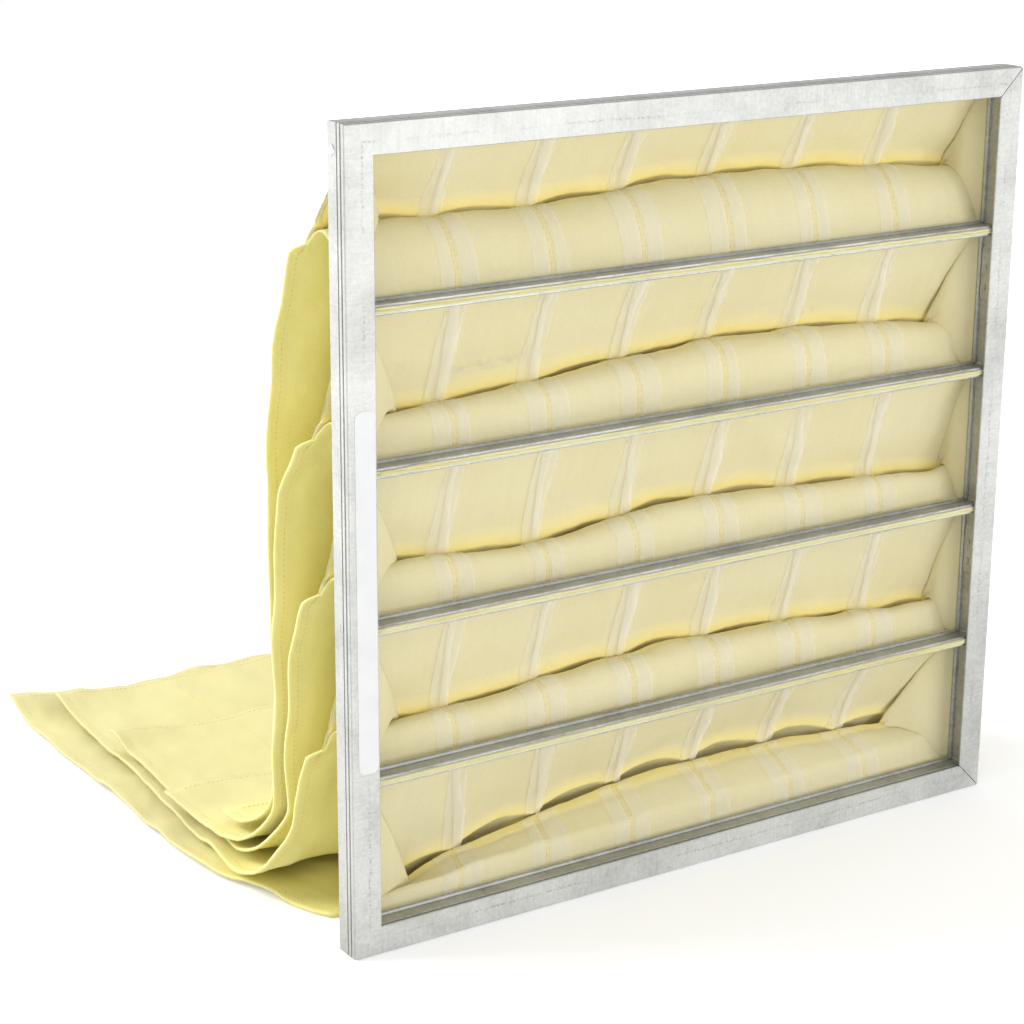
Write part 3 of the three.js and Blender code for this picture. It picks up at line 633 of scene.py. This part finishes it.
# The six tapes of a pocket: flat beside their seam on the lower panel, slack and twisted on the
# upper one
def build_tapes(piece, material):
    vertices, faces = [], []
    choose = random.Random(piece["number"])
    lower = np.linspace(TAPE_STARTS, CREASE_REACH + 2, 22)
    upper = np.linspace(TAPE_STARTS, CREASE_REACH + 1, 22)
    for tape in range(TAPE_COUNT):
        x = (tape - (TAPE_COUNT - 1) / 2) * TAPE_PITCH
        for side in (-1, 1):
            width = TAPE_BAND * choose.uniform(0.8, 1.25)
            wander = choose.uniform(-1.5, 1.5) * np.sin(lower / CREASE_REACH * np.pi)
            near = x + side * TAPE_BESIDE_SEAM + 0 * lower
            far = near + side * width + wander

            def flat(share, distances):
                return 0 * distances + 0.2 * share

            left, right = np.minimum(near, far), np.maximum(near, far)
            add_ribbon(piece, False, lower, left, right, flat, vertices, faces)
        turn = choose.uniform(0, 2 * math.pi)
        lean = choose.uniform(-0.7, 0.7)
        wander = lean * np.sin(upper / CREASE_REACH * np.pi * 1.3 + turn)
        width = HANGING_WIDTH * (0.93 + 0.07 * np.sin(upper / CREASE_REACH * 4.2 + turn))

        def twisted(share, distances):
            wave = np.sin(2.2 * share * math.pi + distances / CREASE_REACH * 2.5 + turn)
            return 0.4 * (1 + wave) * smooth(0, 6, distances)

        left = x + wander - width / 2
        add_ribbon(piece, True, upper, left, left + width, twisted, vertices, faces)

        def folded(share, distances):
            return 1.3 + 0.7 * share + 0 * distances

        near = left + width * (0.15 + 0.35 * smooth(0, CREASE_REACH, upper))
        fold_width = FOLDED_WIDTH * (1.2 - 0.7 * np.abs(np.sin(upper / CREASE_REACH * 2.2 + turn)))
        add_ribbon(piece, True, upper, near, near + fold_width, folded, vertices, faces)
    return mesh_object(f"spacer_tapes_{piece['number']}", vertices, faces, [material])


# Materials: each pair of colours is the usual one and its darker patches

HEADER_GREYS = ((0.52, 0.525, 0.505), (0.38, 0.385, 0.37))
HEADER_ROUGH = 0.5
RING_GREYS = ((0.46, 0.47, 0.45), (0.29, 0.295, 0.28))
RING_ROUGH = 0.42
RIVET_GREYS = ((0.6, 0.61, 0.62), (0.45, 0.46, 0.47))
RIVET_METALLIC = 0.9
LABEL_GREYS = ((0.7, 0.705, 0.71), (0.66, 0.665, 0.67))
OUTSIDE_YELLOWS = ((0.98, 0.92, 0.41), (0.97, 0.9, 0.34))
INSIDE_YELLOWS = ((0.83, 0.765, 0.5), (0.815, 0.74, 0.45))
EDGE_YELLOWS = ((0.88, 0.85, 0.6), (0.76, 0.71, 0.42))
THREAD_GOLDS = ((0.93, 0.74, 0.3), (0.85, 0.62, 0.2))
PANEL_CLEAR = 0.12
EDGE_CLEAR = 0.2


def node_material(name):
    material = bpy.data.materials.new(name)
    material.use_nodes = True
    tree = material.node_tree
    return material, tree, tree.nodes["Principled BSDF"]


def link(tree, source, target):
    tree.links.new(source, target)


def noise_node(tree, scale, detail=4.0, rough=0.6, stretch=None):
    coords = tree.nodes.new("ShaderNodeTexCoord")
    made = tree.nodes.new("ShaderNodeTexNoise")
    made.inputs["Scale"].default_value = scale
    made.inputs["Detail"].default_value = detail
    made.inputs["Roughness"].default_value = rough
    if stretch:
        mapping = tree.nodes.new("ShaderNodeMapping")
        mapping.inputs["Scale"].default_value = stretch
        link(tree, coords.outputs["Object"], mapping.inputs["Vector"])
        link(tree, mapping.outputs["Vector"], made.inputs["Vector"])
    else:
        link(tree, coords.outputs["Object"], made.inputs["Vector"])
    return made.outputs["Fac"]


def ramp_node(tree, source, stops):
    made = tree.nodes.new("ShaderNodeValToRGB")
    elements = made.color_ramp.elements
    while len(elements) < len(stops):
        elements.new(0.5)
    for element, (place, colour) in zip(elements, stops):
        element.position = place
        element.color = (*colour, 1)
    link(tree, source, made.inputs["Fac"])
    return made.outputs["Color"]


def math_node(tree, operation, a, b=None, clamp=False):
    made = tree.nodes.new("ShaderNodeMath")
    made.operation = operation
    made.use_clamp = clamp
    for place, value in enumerate((a, b)):
        if value is None:
            continue
        if isinstance(value, (int, float)):
            made.inputs[place].default_value = value
        else:
            link(tree, value, made.inputs[place])
    return made.outputs["Value"]


def mix_colour(tree, share, a, b, blend="MIX"):
    made = tree.nodes.new("ShaderNodeMix")
    made.data_type = "RGBA"
    made.blend_type = blend
    for place, value in ((0, share), (6, a), (7, b)):
        if isinstance(value, (int, float)):
            made.inputs[place].default_value = value
        elif isinstance(value, tuple):
            made.inputs[place].default_value = (*value, 1)
        else:
            link(tree, value, made.inputs[place])
    return made.outputs[2]


def bump_node(tree, height, strength, distance, normal=None):
    made = tree.nodes.new("ShaderNodeBump")
    made.inputs["Strength"].default_value = strength
    made.inputs["Distance"].default_value = distance
    link(tree, height, made.inputs["Height"])
    if normal:
        link(tree, normal, made.inputs["Normal"])
    return made.outputs["Normal"]


BLACK = (0, 0, 0)
WHITE = (1, 1, 1)
# Where dust has marked the fabric inside the mouths, in metres: place across and up, and reach
# across and up
SMUDGES = (
    ((-0.132, 0.338), 0.036, 0.0045),
    ((-0.018, 0.330), 0.012, 0.0035),
    ((0.106, 0.341), 0.020, 0.0040),
    ((0.072, 0.050), 0.060, 0.0040),
    ((0.097, 0.015), 0.055, 0.0060),
)
DUST_GREY = (0.42, 0.42, 0.38)
DUST_SHARE = 0.4


# Grey where the dust is, broken up by a fine noise
def dust(tree, colour):
    coords = tree.nodes.new("ShaderNodeTexCoord")
    parts = tree.nodes.new("ShaderNodeSeparateXYZ")
    link(tree, coords.outputs["Object"], parts.inputs["Vector"])
    specks = ramp_node(tree, noise_node(tree, 150.0, 2.0, 0.7), [(0.4, BLACK), (0.7, WHITE)])
    total = None

    def squared_share(axis, middle, reach):
        away = math_node(tree, "SUBTRACT", parts.outputs[axis], middle)
        share = math_node(tree, "DIVIDE", away, reach)
        return math_node(tree, "POWER", math_node(tree, "ABSOLUTE", share), 2.0)

    for (x, z), wide, tall in SMUDGES:
        away = math_node(tree, "ADD", squared_share("X", x, wide), squared_share("Z", z, tall))
        near = math_node(tree, "SUBTRACT", 1.0, away, True)
        total = near if total is None else math_node(tree, "MAXIMUM", total, near)
    share = math_node(tree, "MULTIPLY", math_node(tree, "MULTIPLY", total, specks), DUST_SHARE)
    return mix_colour(tree, share, colour, DUST_GREY)


# The attribute that says how deep in a fold the fabric is, and the painted light there: a gold tint and a
# faint gold glow that stand in for the light that shines through and bounces in the creases
FOLD_ATTRIBUTE = "fold"
FOLD_PAINTED_LIGHT = (0.98, 0.86, 0.34)
FOLD_FULL = 4.0
FOLD_GLOW = 0.12
FOLD_GLOW_COLOUR = (1, 0.84, 0.25)
FOLD_LIGHT_SHARE = 0.75


# Painted shade: the fabric that lies in the open behind the header is darkened towards a duller yellow,
# which tones down the strong light that falls on it there
LYING_PAINTED_SHADE = (0.74, 0.69, 0.38)
LYING_FROM = 0.11
LYING_OVER = 0.08
LYING_SHADE_MOST = 0.85


def lying_shade_share(tree):
    coords = tree.nodes.new("ShaderNodeTexCoord")
    parts = tree.nodes.new("ShaderNodeSeparateXYZ")
    link(tree, coords.outputs["Object"], parts.inputs["Vector"])
    behind = math_node(tree, "SUBTRACT", parts.outputs["Y"], LYING_FROM)
    share = math_node(tree, "DIVIDE", behind, LYING_OVER, True)
    return math_node(tree, "MULTIPLY", share, LYING_SHADE_MOST)


# Needled synthetic felt: matt, slightly see-through, finely fibrous and a little uneven in colour, with
# painted gold light and glow in its folds and painted shade where it lies behind the header
def fabric_material(name, pale, deep, see_through, dust_and_glow=False):
    material, tree, shader = node_material(name)
    fold = tree.nodes.new("ShaderNodeAttribute")
    fold.attribute_name = FOLD_ATTRIBUTE
    # Painted light: how far the colour turns gold in the folds
    fold_light = math_node(tree, "MULTIPLY", fold.outputs["Fac"], FOLD_LIGHT_SHARE)
    if dust_and_glow:
        material.cycles.emission_sampling = "NONE"
        # Painted light: the inside glows faintly gold in its folds, though it is no lamp
        shader.inputs["Emission Color"].default_value = (*FOLD_GLOW_COLOUR, 1)
        glow = math_node(tree, "MULTIPLY", fold.outputs["Fac"], FOLD_GLOW)
        link(tree, glow, shader.inputs["Emission Strength"])
    cloud = noise_node(tree, 14.0, 2.0, 0.55)
    fibre = noise_node(tree, 900.0, 1.0, 0.7)
    streak = noise_node(tree, 1.0, 0.0, 0.6, (260.0, 26.0, 26.0))
    base = ramp_node(tree, cloud, [(0.3, deep), (0.62, pale)])
    streak_share = math_node(tree, "MULTIPLY", streak, 0.25)
    streaked = mix_colour(tree, streak_share, base, tuple(0.88 * c for c in pale))
    specks = ramp_node(tree, fibre, [(0.35, (0.7, 0.66, 0.5)), (0.65, WHITE)])
    speckled = mix_colour(tree, 0.12, streaked, specks, "MULTIPLY")
    # Painted light: gold in the creases
    speckled = mix_colour(tree, fold_light, speckled, FOLD_PAINTED_LIGHT)
    if dust_and_glow:
        speckled = dust(tree, speckled)
    else:
        # Painted shade on the fabric that lies behind the header
        speckled = mix_colour(tree, lying_shade_share(tree), speckled, LYING_PAINTED_SHADE)
    link(tree, speckled, shader.inputs["Base Color"])
    shader.inputs["Roughness"].default_value = 0.95
    shader.inputs["Specular IOR Level"].default_value = 0.15
    soft = bump_node(tree, noise_node(tree, 120.0, 0.0, 0.65), 0.3, 0.0012)
    fine = bump_node(tree, fibre, 0.3, 0.0003, soft)
    link(tree, fine, shader.inputs["Normal"])
    through = tree.nodes.new("ShaderNodeBsdfTranslucent")
    link(tree, speckled, through.inputs["Color"])
    link(tree, fine, through.inputs["Normal"])
    mixed = tree.nodes.new("ShaderNodeMixShader")
    mixed.inputs["Fac"].default_value = see_through
    link(tree, shader.outputs["BSDF"], mixed.inputs[1])
    link(tree, through.outputs["BSDF"], mixed.inputs[2])
    link(tree, mixed.outputs["Shader"], tree.nodes["Material Output"].inputs["Surface"])
    return material


# Galvanised strip: faint crystals, grain, dull patches, painted shade darkening its grooves and
# under its ribs, and on the header a line of scuffs
GROOVE_REACH = 0.003


def steel_material(name, bright, dull, rough, scuffed):
    material, tree, shader = node_material(name)
    coords = tree.nodes.new("ShaderNodeTexCoord")
    crystals = tree.nodes.new("ShaderNodeTexVoronoi")
    crystals.inputs["Scale"].default_value = 450.0
    link(tree, coords.outputs["Object"], crystals.inputs["Vector"])
    grey = tree.nodes.new("ShaderNodeRGBToBW")
    link(tree, crystals.outputs["Color"], grey.inputs["Color"])
    patches = noise_node(tree, 22.0, 4.0, 0.65)
    grain = noise_node(tree, 420.0, 1.0, 0.7)
    from_crystals = math_node(tree, "MULTIPLY", grey.outputs["Val"], 0.2)
    from_patches = math_node(tree, "MULTIPLY", patches, 0.8)
    tone = math_node(tree, "ADD", from_crystals, from_patches)
    colour = ramp_node(tree, tone, [(0.3, dull), (0.6, bright)])
    grains = ramp_node(tree, grain, [(0.35, (0.72, 0.72, 0.72)), (0.6, WHITE)])
    colour = mix_colour(tree, 0.3, colour, grains, "MULTIPLY")
    if scuffed:
        colour = scuff_line(tree, coords, colour)
    # Painted shade: occlusion darkens the colour in the grooves and under the ribs
    groove = tree.nodes.new("ShaderNodeAmbientOcclusion")
    groove.samples = 1
    groove.only_local = True
    groove.inputs["Distance"].default_value = GROOVE_REACH
    groove_shade = ramp_node(tree, groove.outputs["AO"], [(0.3, (0.12, 0.12, 0.12)), (0.86, WHITE)])
    colour = mix_colour(tree, 1.0, colour, groove_shade, "MULTIPLY")
    link(tree, colour, shader.inputs["Base Color"])
    shader.inputs["Metallic"].default_value = 0.7
    roughness = math_node(tree, "ADD", math_node(tree, "MULTIPLY", grain, 0.12), rough - 0.06)
    crystal_rough = math_node(tree, "MULTIPLY", grey.outputs["Val"], 0.1)
    link(tree, math_node(tree, "ADD", crystal_rough, roughness), shader.inputs["Roughness"])
    link(tree, bump_node(tree, grain, 0.12, 0.0002), shader.inputs["Normal"])
    return material


def mix_value(tree, share, a, b):
    made = tree.nodes.new("ShaderNodeMix")
    link(tree, share, made.inputs[0])
    link(tree, a, made.inputs[2])
    link(tree, b, made.inputs[3])
    return made.outputs[0]


# A broken line of scuffs that the rolls left along the middle of each rail's face, in metres
SCUFF_INSET = 0.0105
SCUFF_REACH = 0.0011
SCUFF_WANDER = 0.004
SCUFF_GREY = (0.2, 0.2, 0.19)


def scuff_line(tree, coords, colour):
    parts = tree.nodes.new("ShaderNodeSeparateXYZ")
    link(tree, coords.outputs["Object"], parts.inputs["Vector"])
    from_side = math_node(tree, "SUBTRACT", HALF * MM, math_node(tree, "ABSOLUTE", parts.outputs["X"]))
    up = math_node(tree, "ABSOLUTE", math_node(tree, "SUBTRACT", parts.outputs["Z"], HALF * MM))
    from_end = math_node(tree, "SUBTRACT", HALF * MM, up)
    inset = math_node(tree, "MINIMUM", from_side, from_end)
    on_side_rail = math_node(tree, "LESS_THAN", from_side, from_end)
    along = mix_value(tree, on_side_rail, parts.outputs["X"], parts.outputs["Z"])
    place = tree.nodes.new("ShaderNodeCombineXYZ")
    link(tree, math_node(tree, "MULTIPLY", along, 700.0), place.inputs["X"])
    link(tree, math_node(tree, "MULTIPLY", inset, 60.0), place.inputs["Y"])
    hatch = tree.nodes.new("ShaderNodeTexNoise")
    hatch.inputs["Scale"].default_value = 1.0
    hatch.inputs["Detail"].default_value = 3.0
    link(tree, place.outputs["Vector"], hatch.inputs["Vector"])
    lines = ramp_node(tree, hatch.outputs["Fac"], [(0.36, (0.93, 0.93, 0.92)), (0.56, WHITE)])
    colour = mix_colour(tree, 1.0, colour, lines, "MULTIPLY")
    drift = math_node(tree, "SUBTRACT", noise_node(tree, 30.0), 0.5)
    wander = math_node(tree, "MULTIPLY", drift, SCUFF_WANDER)
    place = math_node(tree, "SUBTRACT", math_node(tree, "ADD", inset, wander), SCUFF_INSET)
    off = math_node(tree, "ABSOLUTE", place)
    near = math_node(tree, "SUBTRACT", 1.0, math_node(tree, "DIVIDE", off, SCUFF_REACH, True), True)
    dots = ramp_node(tree, noise_node(tree, 700.0, 2.0, 0.5), [(0.5, BLACK), (0.56, WHITE)])
    stretch = ramp_node(tree, noise_node(tree, 24.0, 2.0, 0.5), [(0.42, BLACK), (0.58, WHITE)])
    share = math_node(tree, "MULTIPLY", math_node(tree, "MULTIPLY", near, dots), stretch)
    return mix_colour(tree, math_node(tree, "MULTIPLY", share, 0.75), colour, SCUFF_GREY)


# Thin bonded tape that lets the fabric behind it show
def tape_material(name):
    material, tree, shader = node_material(name)
    tone = noise_node(tree, 1.0, 3.0, 0.6, (700.0, 120.0, 60.0))
    colour = ramp_node(tree, tone, [(0.3, (0.9, 0.88, 0.76)), (0.65, (0.97, 0.96, 0.9))])
    link(tree, colour, shader.inputs["Base Color"])
    shader.inputs["Roughness"].default_value = 0.8
    link(tree, bump_node(tree, tone, 0.3, 0.0004), shader.inputs["Normal"])
    clear = tree.nodes.new("ShaderNodeBsdfTransparent")
    through = tree.nodes.new("ShaderNodeBsdfTranslucent")
    through.inputs["Color"].default_value = (0.96, 0.95, 0.88, 1)
    cloth = tree.nodes.new("ShaderNodeMixShader")
    cloth.inputs["Fac"].default_value = 0.3
    link(tree, shader.outputs["BSDF"], cloth.inputs[1])
    link(tree, through.outputs["BSDF"], cloth.inputs[2])
    mixed = tree.nodes.new("ShaderNodeMixShader")
    mixed.inputs["Fac"].default_value = 0.6
    link(tree, cloth.outputs["Shader"], mixed.inputs[1])
    link(tree, clear.outputs["BSDF"], mixed.inputs[2])
    link(tree, mixed.outputs["Shader"], tree.nodes["Material Output"].inputs["Surface"])
    return material


def plain_material(name, colour, darker, rough, scale, bump=0.1):
    material, tree, shader = node_material(name)
    tone = noise_node(tree, scale, 4.0, 0.6)
    link(tree, ramp_node(tree, tone, [(0.3, darker), (0.65, colour)]), shader.inputs["Base Color"])
    shader.inputs["Roughness"].default_value = rough
    link(tree, bump_node(tree, noise_node(tree, scale * 8), bump, 0.0002), shader.inputs["Normal"])
    return material


def paint_nodes(materials):
    names = {
        "galvanised_header": ["header_frame"],
        "ring_steel": [f"pocket_ring_{n}" for n in range(1, POCKET_COUNT + 1)],
        "rivet_metal": ["corner_rivet"],
        "label_paper": ["label_blank"],
    }
    for slot, nodes in names.items():
        for name in nodes:
            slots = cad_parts[name].material_slots
            for place in slots:
                place.material = materials[slot]


# Gives the fabric its thickness, with its outer face, inner face and cut edge each in its material
def thicken(piece, materials):
    obj = piece["object"]
    for material in materials:
        obj.data.materials.append(material)
    solid = obj.modifiers.new("thickness", "SOLIDIFY")
    solid.thickness = MEDIA * MM
    solid.offset = 0
    solid.material_offset = 1
    solid.material_offset_rim = 2
    graph = bpy.context.evaluated_depsgraph_get()
    thick = bpy.data.meshes.new_from_object(obj.evaluated_get(graph))
    obj.modifiers.remove(solid)
    obj.data = thick
    obj.data.shade_smooth()


# Levels of the studio's light, and where the floor turns white
WORLD_LEVEL = 0.85
FLOOR_GREY = (0.86, 0.86, 0.86, 1)
FLOOR_SHINE = 0.25
FLOOR_MIRRORED = 0.35
WHITE_FROM = 0.5
# Each lamp: name, place, what it points at, size and power
LAMPS = (
    ("front_left", (-1.9, -1.5, 1.7), (0, 0, 0.25), 1.4, 3),
    ("front_low", (0.6, -2.2, 0.4), (0, 0, 0.2), 1.2, 22),
    ("behind_left", (-1.7, 1.3, 1.5), (0, 0.2, 0.1), 1.2, 44),
)


def set_floor_and_light():
    world = bpy.data.worlds.new("studio")
    bpy.context.scene.world = world
    world.use_nodes = True
    tree = world.node_tree
    light = tree.nodes["Background"]
    light.inputs["Color"].default_value = (1, 1, 1, 1)
    light.inputs["Strength"].default_value = WORLD_LEVEL
    shown = tree.nodes.new("ShaderNodeBackground")
    shown.inputs["Color"].default_value = (1, 1, 1, 1)
    shown.inputs["Strength"].default_value = 1.0
    path = tree.nodes.new("ShaderNodeLightPath")
    seen = math_node(tree, "MAXIMUM", path.outputs["Is Camera Ray"], path.outputs["Is Transmission Ray"])
    mixed = tree.nodes.new("ShaderNodeMixShader")
    link(tree, seen, mixed.inputs["Fac"])
    link(tree, light.outputs["Background"], mixed.inputs[1])
    link(tree, shown.outputs["Background"], mixed.inputs[2])
    link(tree, mixed.outputs["Shader"], tree.nodes["World Output"].inputs["Surface"])

    bpy.ops.mesh.primitive_plane_add(size=8, location=(0, 0, 0))
    floor = bpy.context.object
    floor.name = "studio_floor"
    material, tree, shader = node_material("studio_floor")
    shader.inputs["Base Color"].default_value = FLOOR_GREY
    shader.inputs["Roughness"].default_value = 0.9
    material.cycles.emission_sampling = "NONE"
    glow = tree.nodes.new("ShaderNodeEmission")
    path = tree.nodes.new("ShaderNodeLightPath")
    seen = math_node(tree, "MAXIMUM", path.outputs["Is Camera Ray"], path.outputs["Is Glossy Ray"])
    coords = tree.nodes.new("ShaderNodeTexCoord")
    away = tree.nodes.new("ShaderNodeVectorMath")
    away.operation = "LENGTH"
    link(tree, coords.outputs["Object"], away.inputs[0])
    far = math_node(tree, "SUBTRACT", away.outputs["Value"], WHITE_FROM, True)
    level = math_node(tree, "ADD", far, FLOOR_SHINE)
    mirrored = math_node(tree, "MULTIPLY", path.outputs["Is Glossy Ray"], FLOOR_MIRRORED)
    shone = math_node(tree, "ADD", math_node(tree, "MULTIPLY", seen, level), mirrored)
    link(tree, shone, glow.inputs["Strength"])
    added = tree.nodes.new("ShaderNodeAddShader")
    link(tree, shader.outputs["BSDF"], added.inputs[0])
    link(tree, glow.outputs["Emission"], added.inputs[1])
    link(tree, added.outputs["Shader"], tree.nodes["Material Output"].inputs["Surface"])
    floor.data.materials.append(material)

    def lamp(name, place, aim, size, power):
        data = bpy.data.lights.new(name, "AREA")
        data.shape = "SQUARE"
        data.size = size
        data.energy = power
        obj = bpy.data.objects.new(name, data)
        obj.location = place
        obj.rotation_euler = (Vector(aim) - Vector(place)).to_track_quat("-Z", "Y").to_euler()
        bpy.context.scene.collection.objects.link(obj)

    for values in LAMPS:
        lamp(*values)


def set_camera():
    data = bpy.data.cameras.new("camera")
    data.lens = CAMERA_LENS
    data.sensor_width = SENSOR
    camera = bpy.data.objects.new("camera", data)
    camera.location = CAMERA_AT
    camera.rotation_euler = [math.radians(turn) for turn in CAMERA_TURN]
    bpy.context.scene.collection.objects.link(camera)
    bpy.context.scene.camera = camera
    bpy.context.scene.view_settings.view_transform = "Standard"


set_camera()
set_floor_and_light()
materials = {
    "galvanised_header": steel_material("galvanised_header", *HEADER_GREYS, HEADER_ROUGH, True),
    "ring_steel": steel_material("ring_steel", *RING_GREYS, RING_ROUGH, False),
    "rivet_metal": plain_material("rivet_metal", *RIVET_GREYS, 0.4, 300.0),
    "label_paper": plain_material("label_paper", *LABEL_GREYS, 0.5, 60.0, 0.02),
}
rivet_shader = materials["rivet_metal"].node_tree.nodes["Principled BSDF"]
rivet_shader.inputs["Metallic"].default_value = RIVET_METALLIC
fabric_outside = fabric_material("pocket_fabric_outside", *OUTSIDE_YELLOWS, PANEL_CLEAR)
fabric_inside = fabric_material("pocket_fabric_inside", *INSIDE_YELLOWS, PANEL_CLEAR, True)
fabric_edge = fabric_material("pocket_fabric_edge", *EDGE_YELLOWS, EDGE_CLEAR)
thread = plain_material("seam_thread", *THREAD_GOLDS, 0.7, 400.0)
tape = tape_material("strip_scrim")
paint_nodes(materials)
pockets = build_pockets()
for piece in pockets:
    piece["normals"] = grid_normals(piece["grid"])
    # The fold attribute is the mask for the painted gold light and glow in the creases
    fold = piece["object"].data.attributes.new(FOLD_ATTRIBUTE, "FLOAT", "POINT")
    fold.data.foreach_set("value", fold_shares(piece).astype(np.float32).ravel())
    number = piece["number"]
    stitching = build_stitching(piece, thread)
    tapes = build_tapes(piece, tape)
    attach(stitching, "root")
    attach(tapes, "root")
    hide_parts(*[f"spacer_strip_{number}_{strip}" for strip in range(1, TAPE_COUNT + 1)])
    piece["trim"] = [stitching, tapes]
for piece in pockets:
    thicken(piece, [fabric_outside, fabric_inside, fabric_edge])
    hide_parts(f"pocket_{piece['number']}")
    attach(piece["object"], "root")
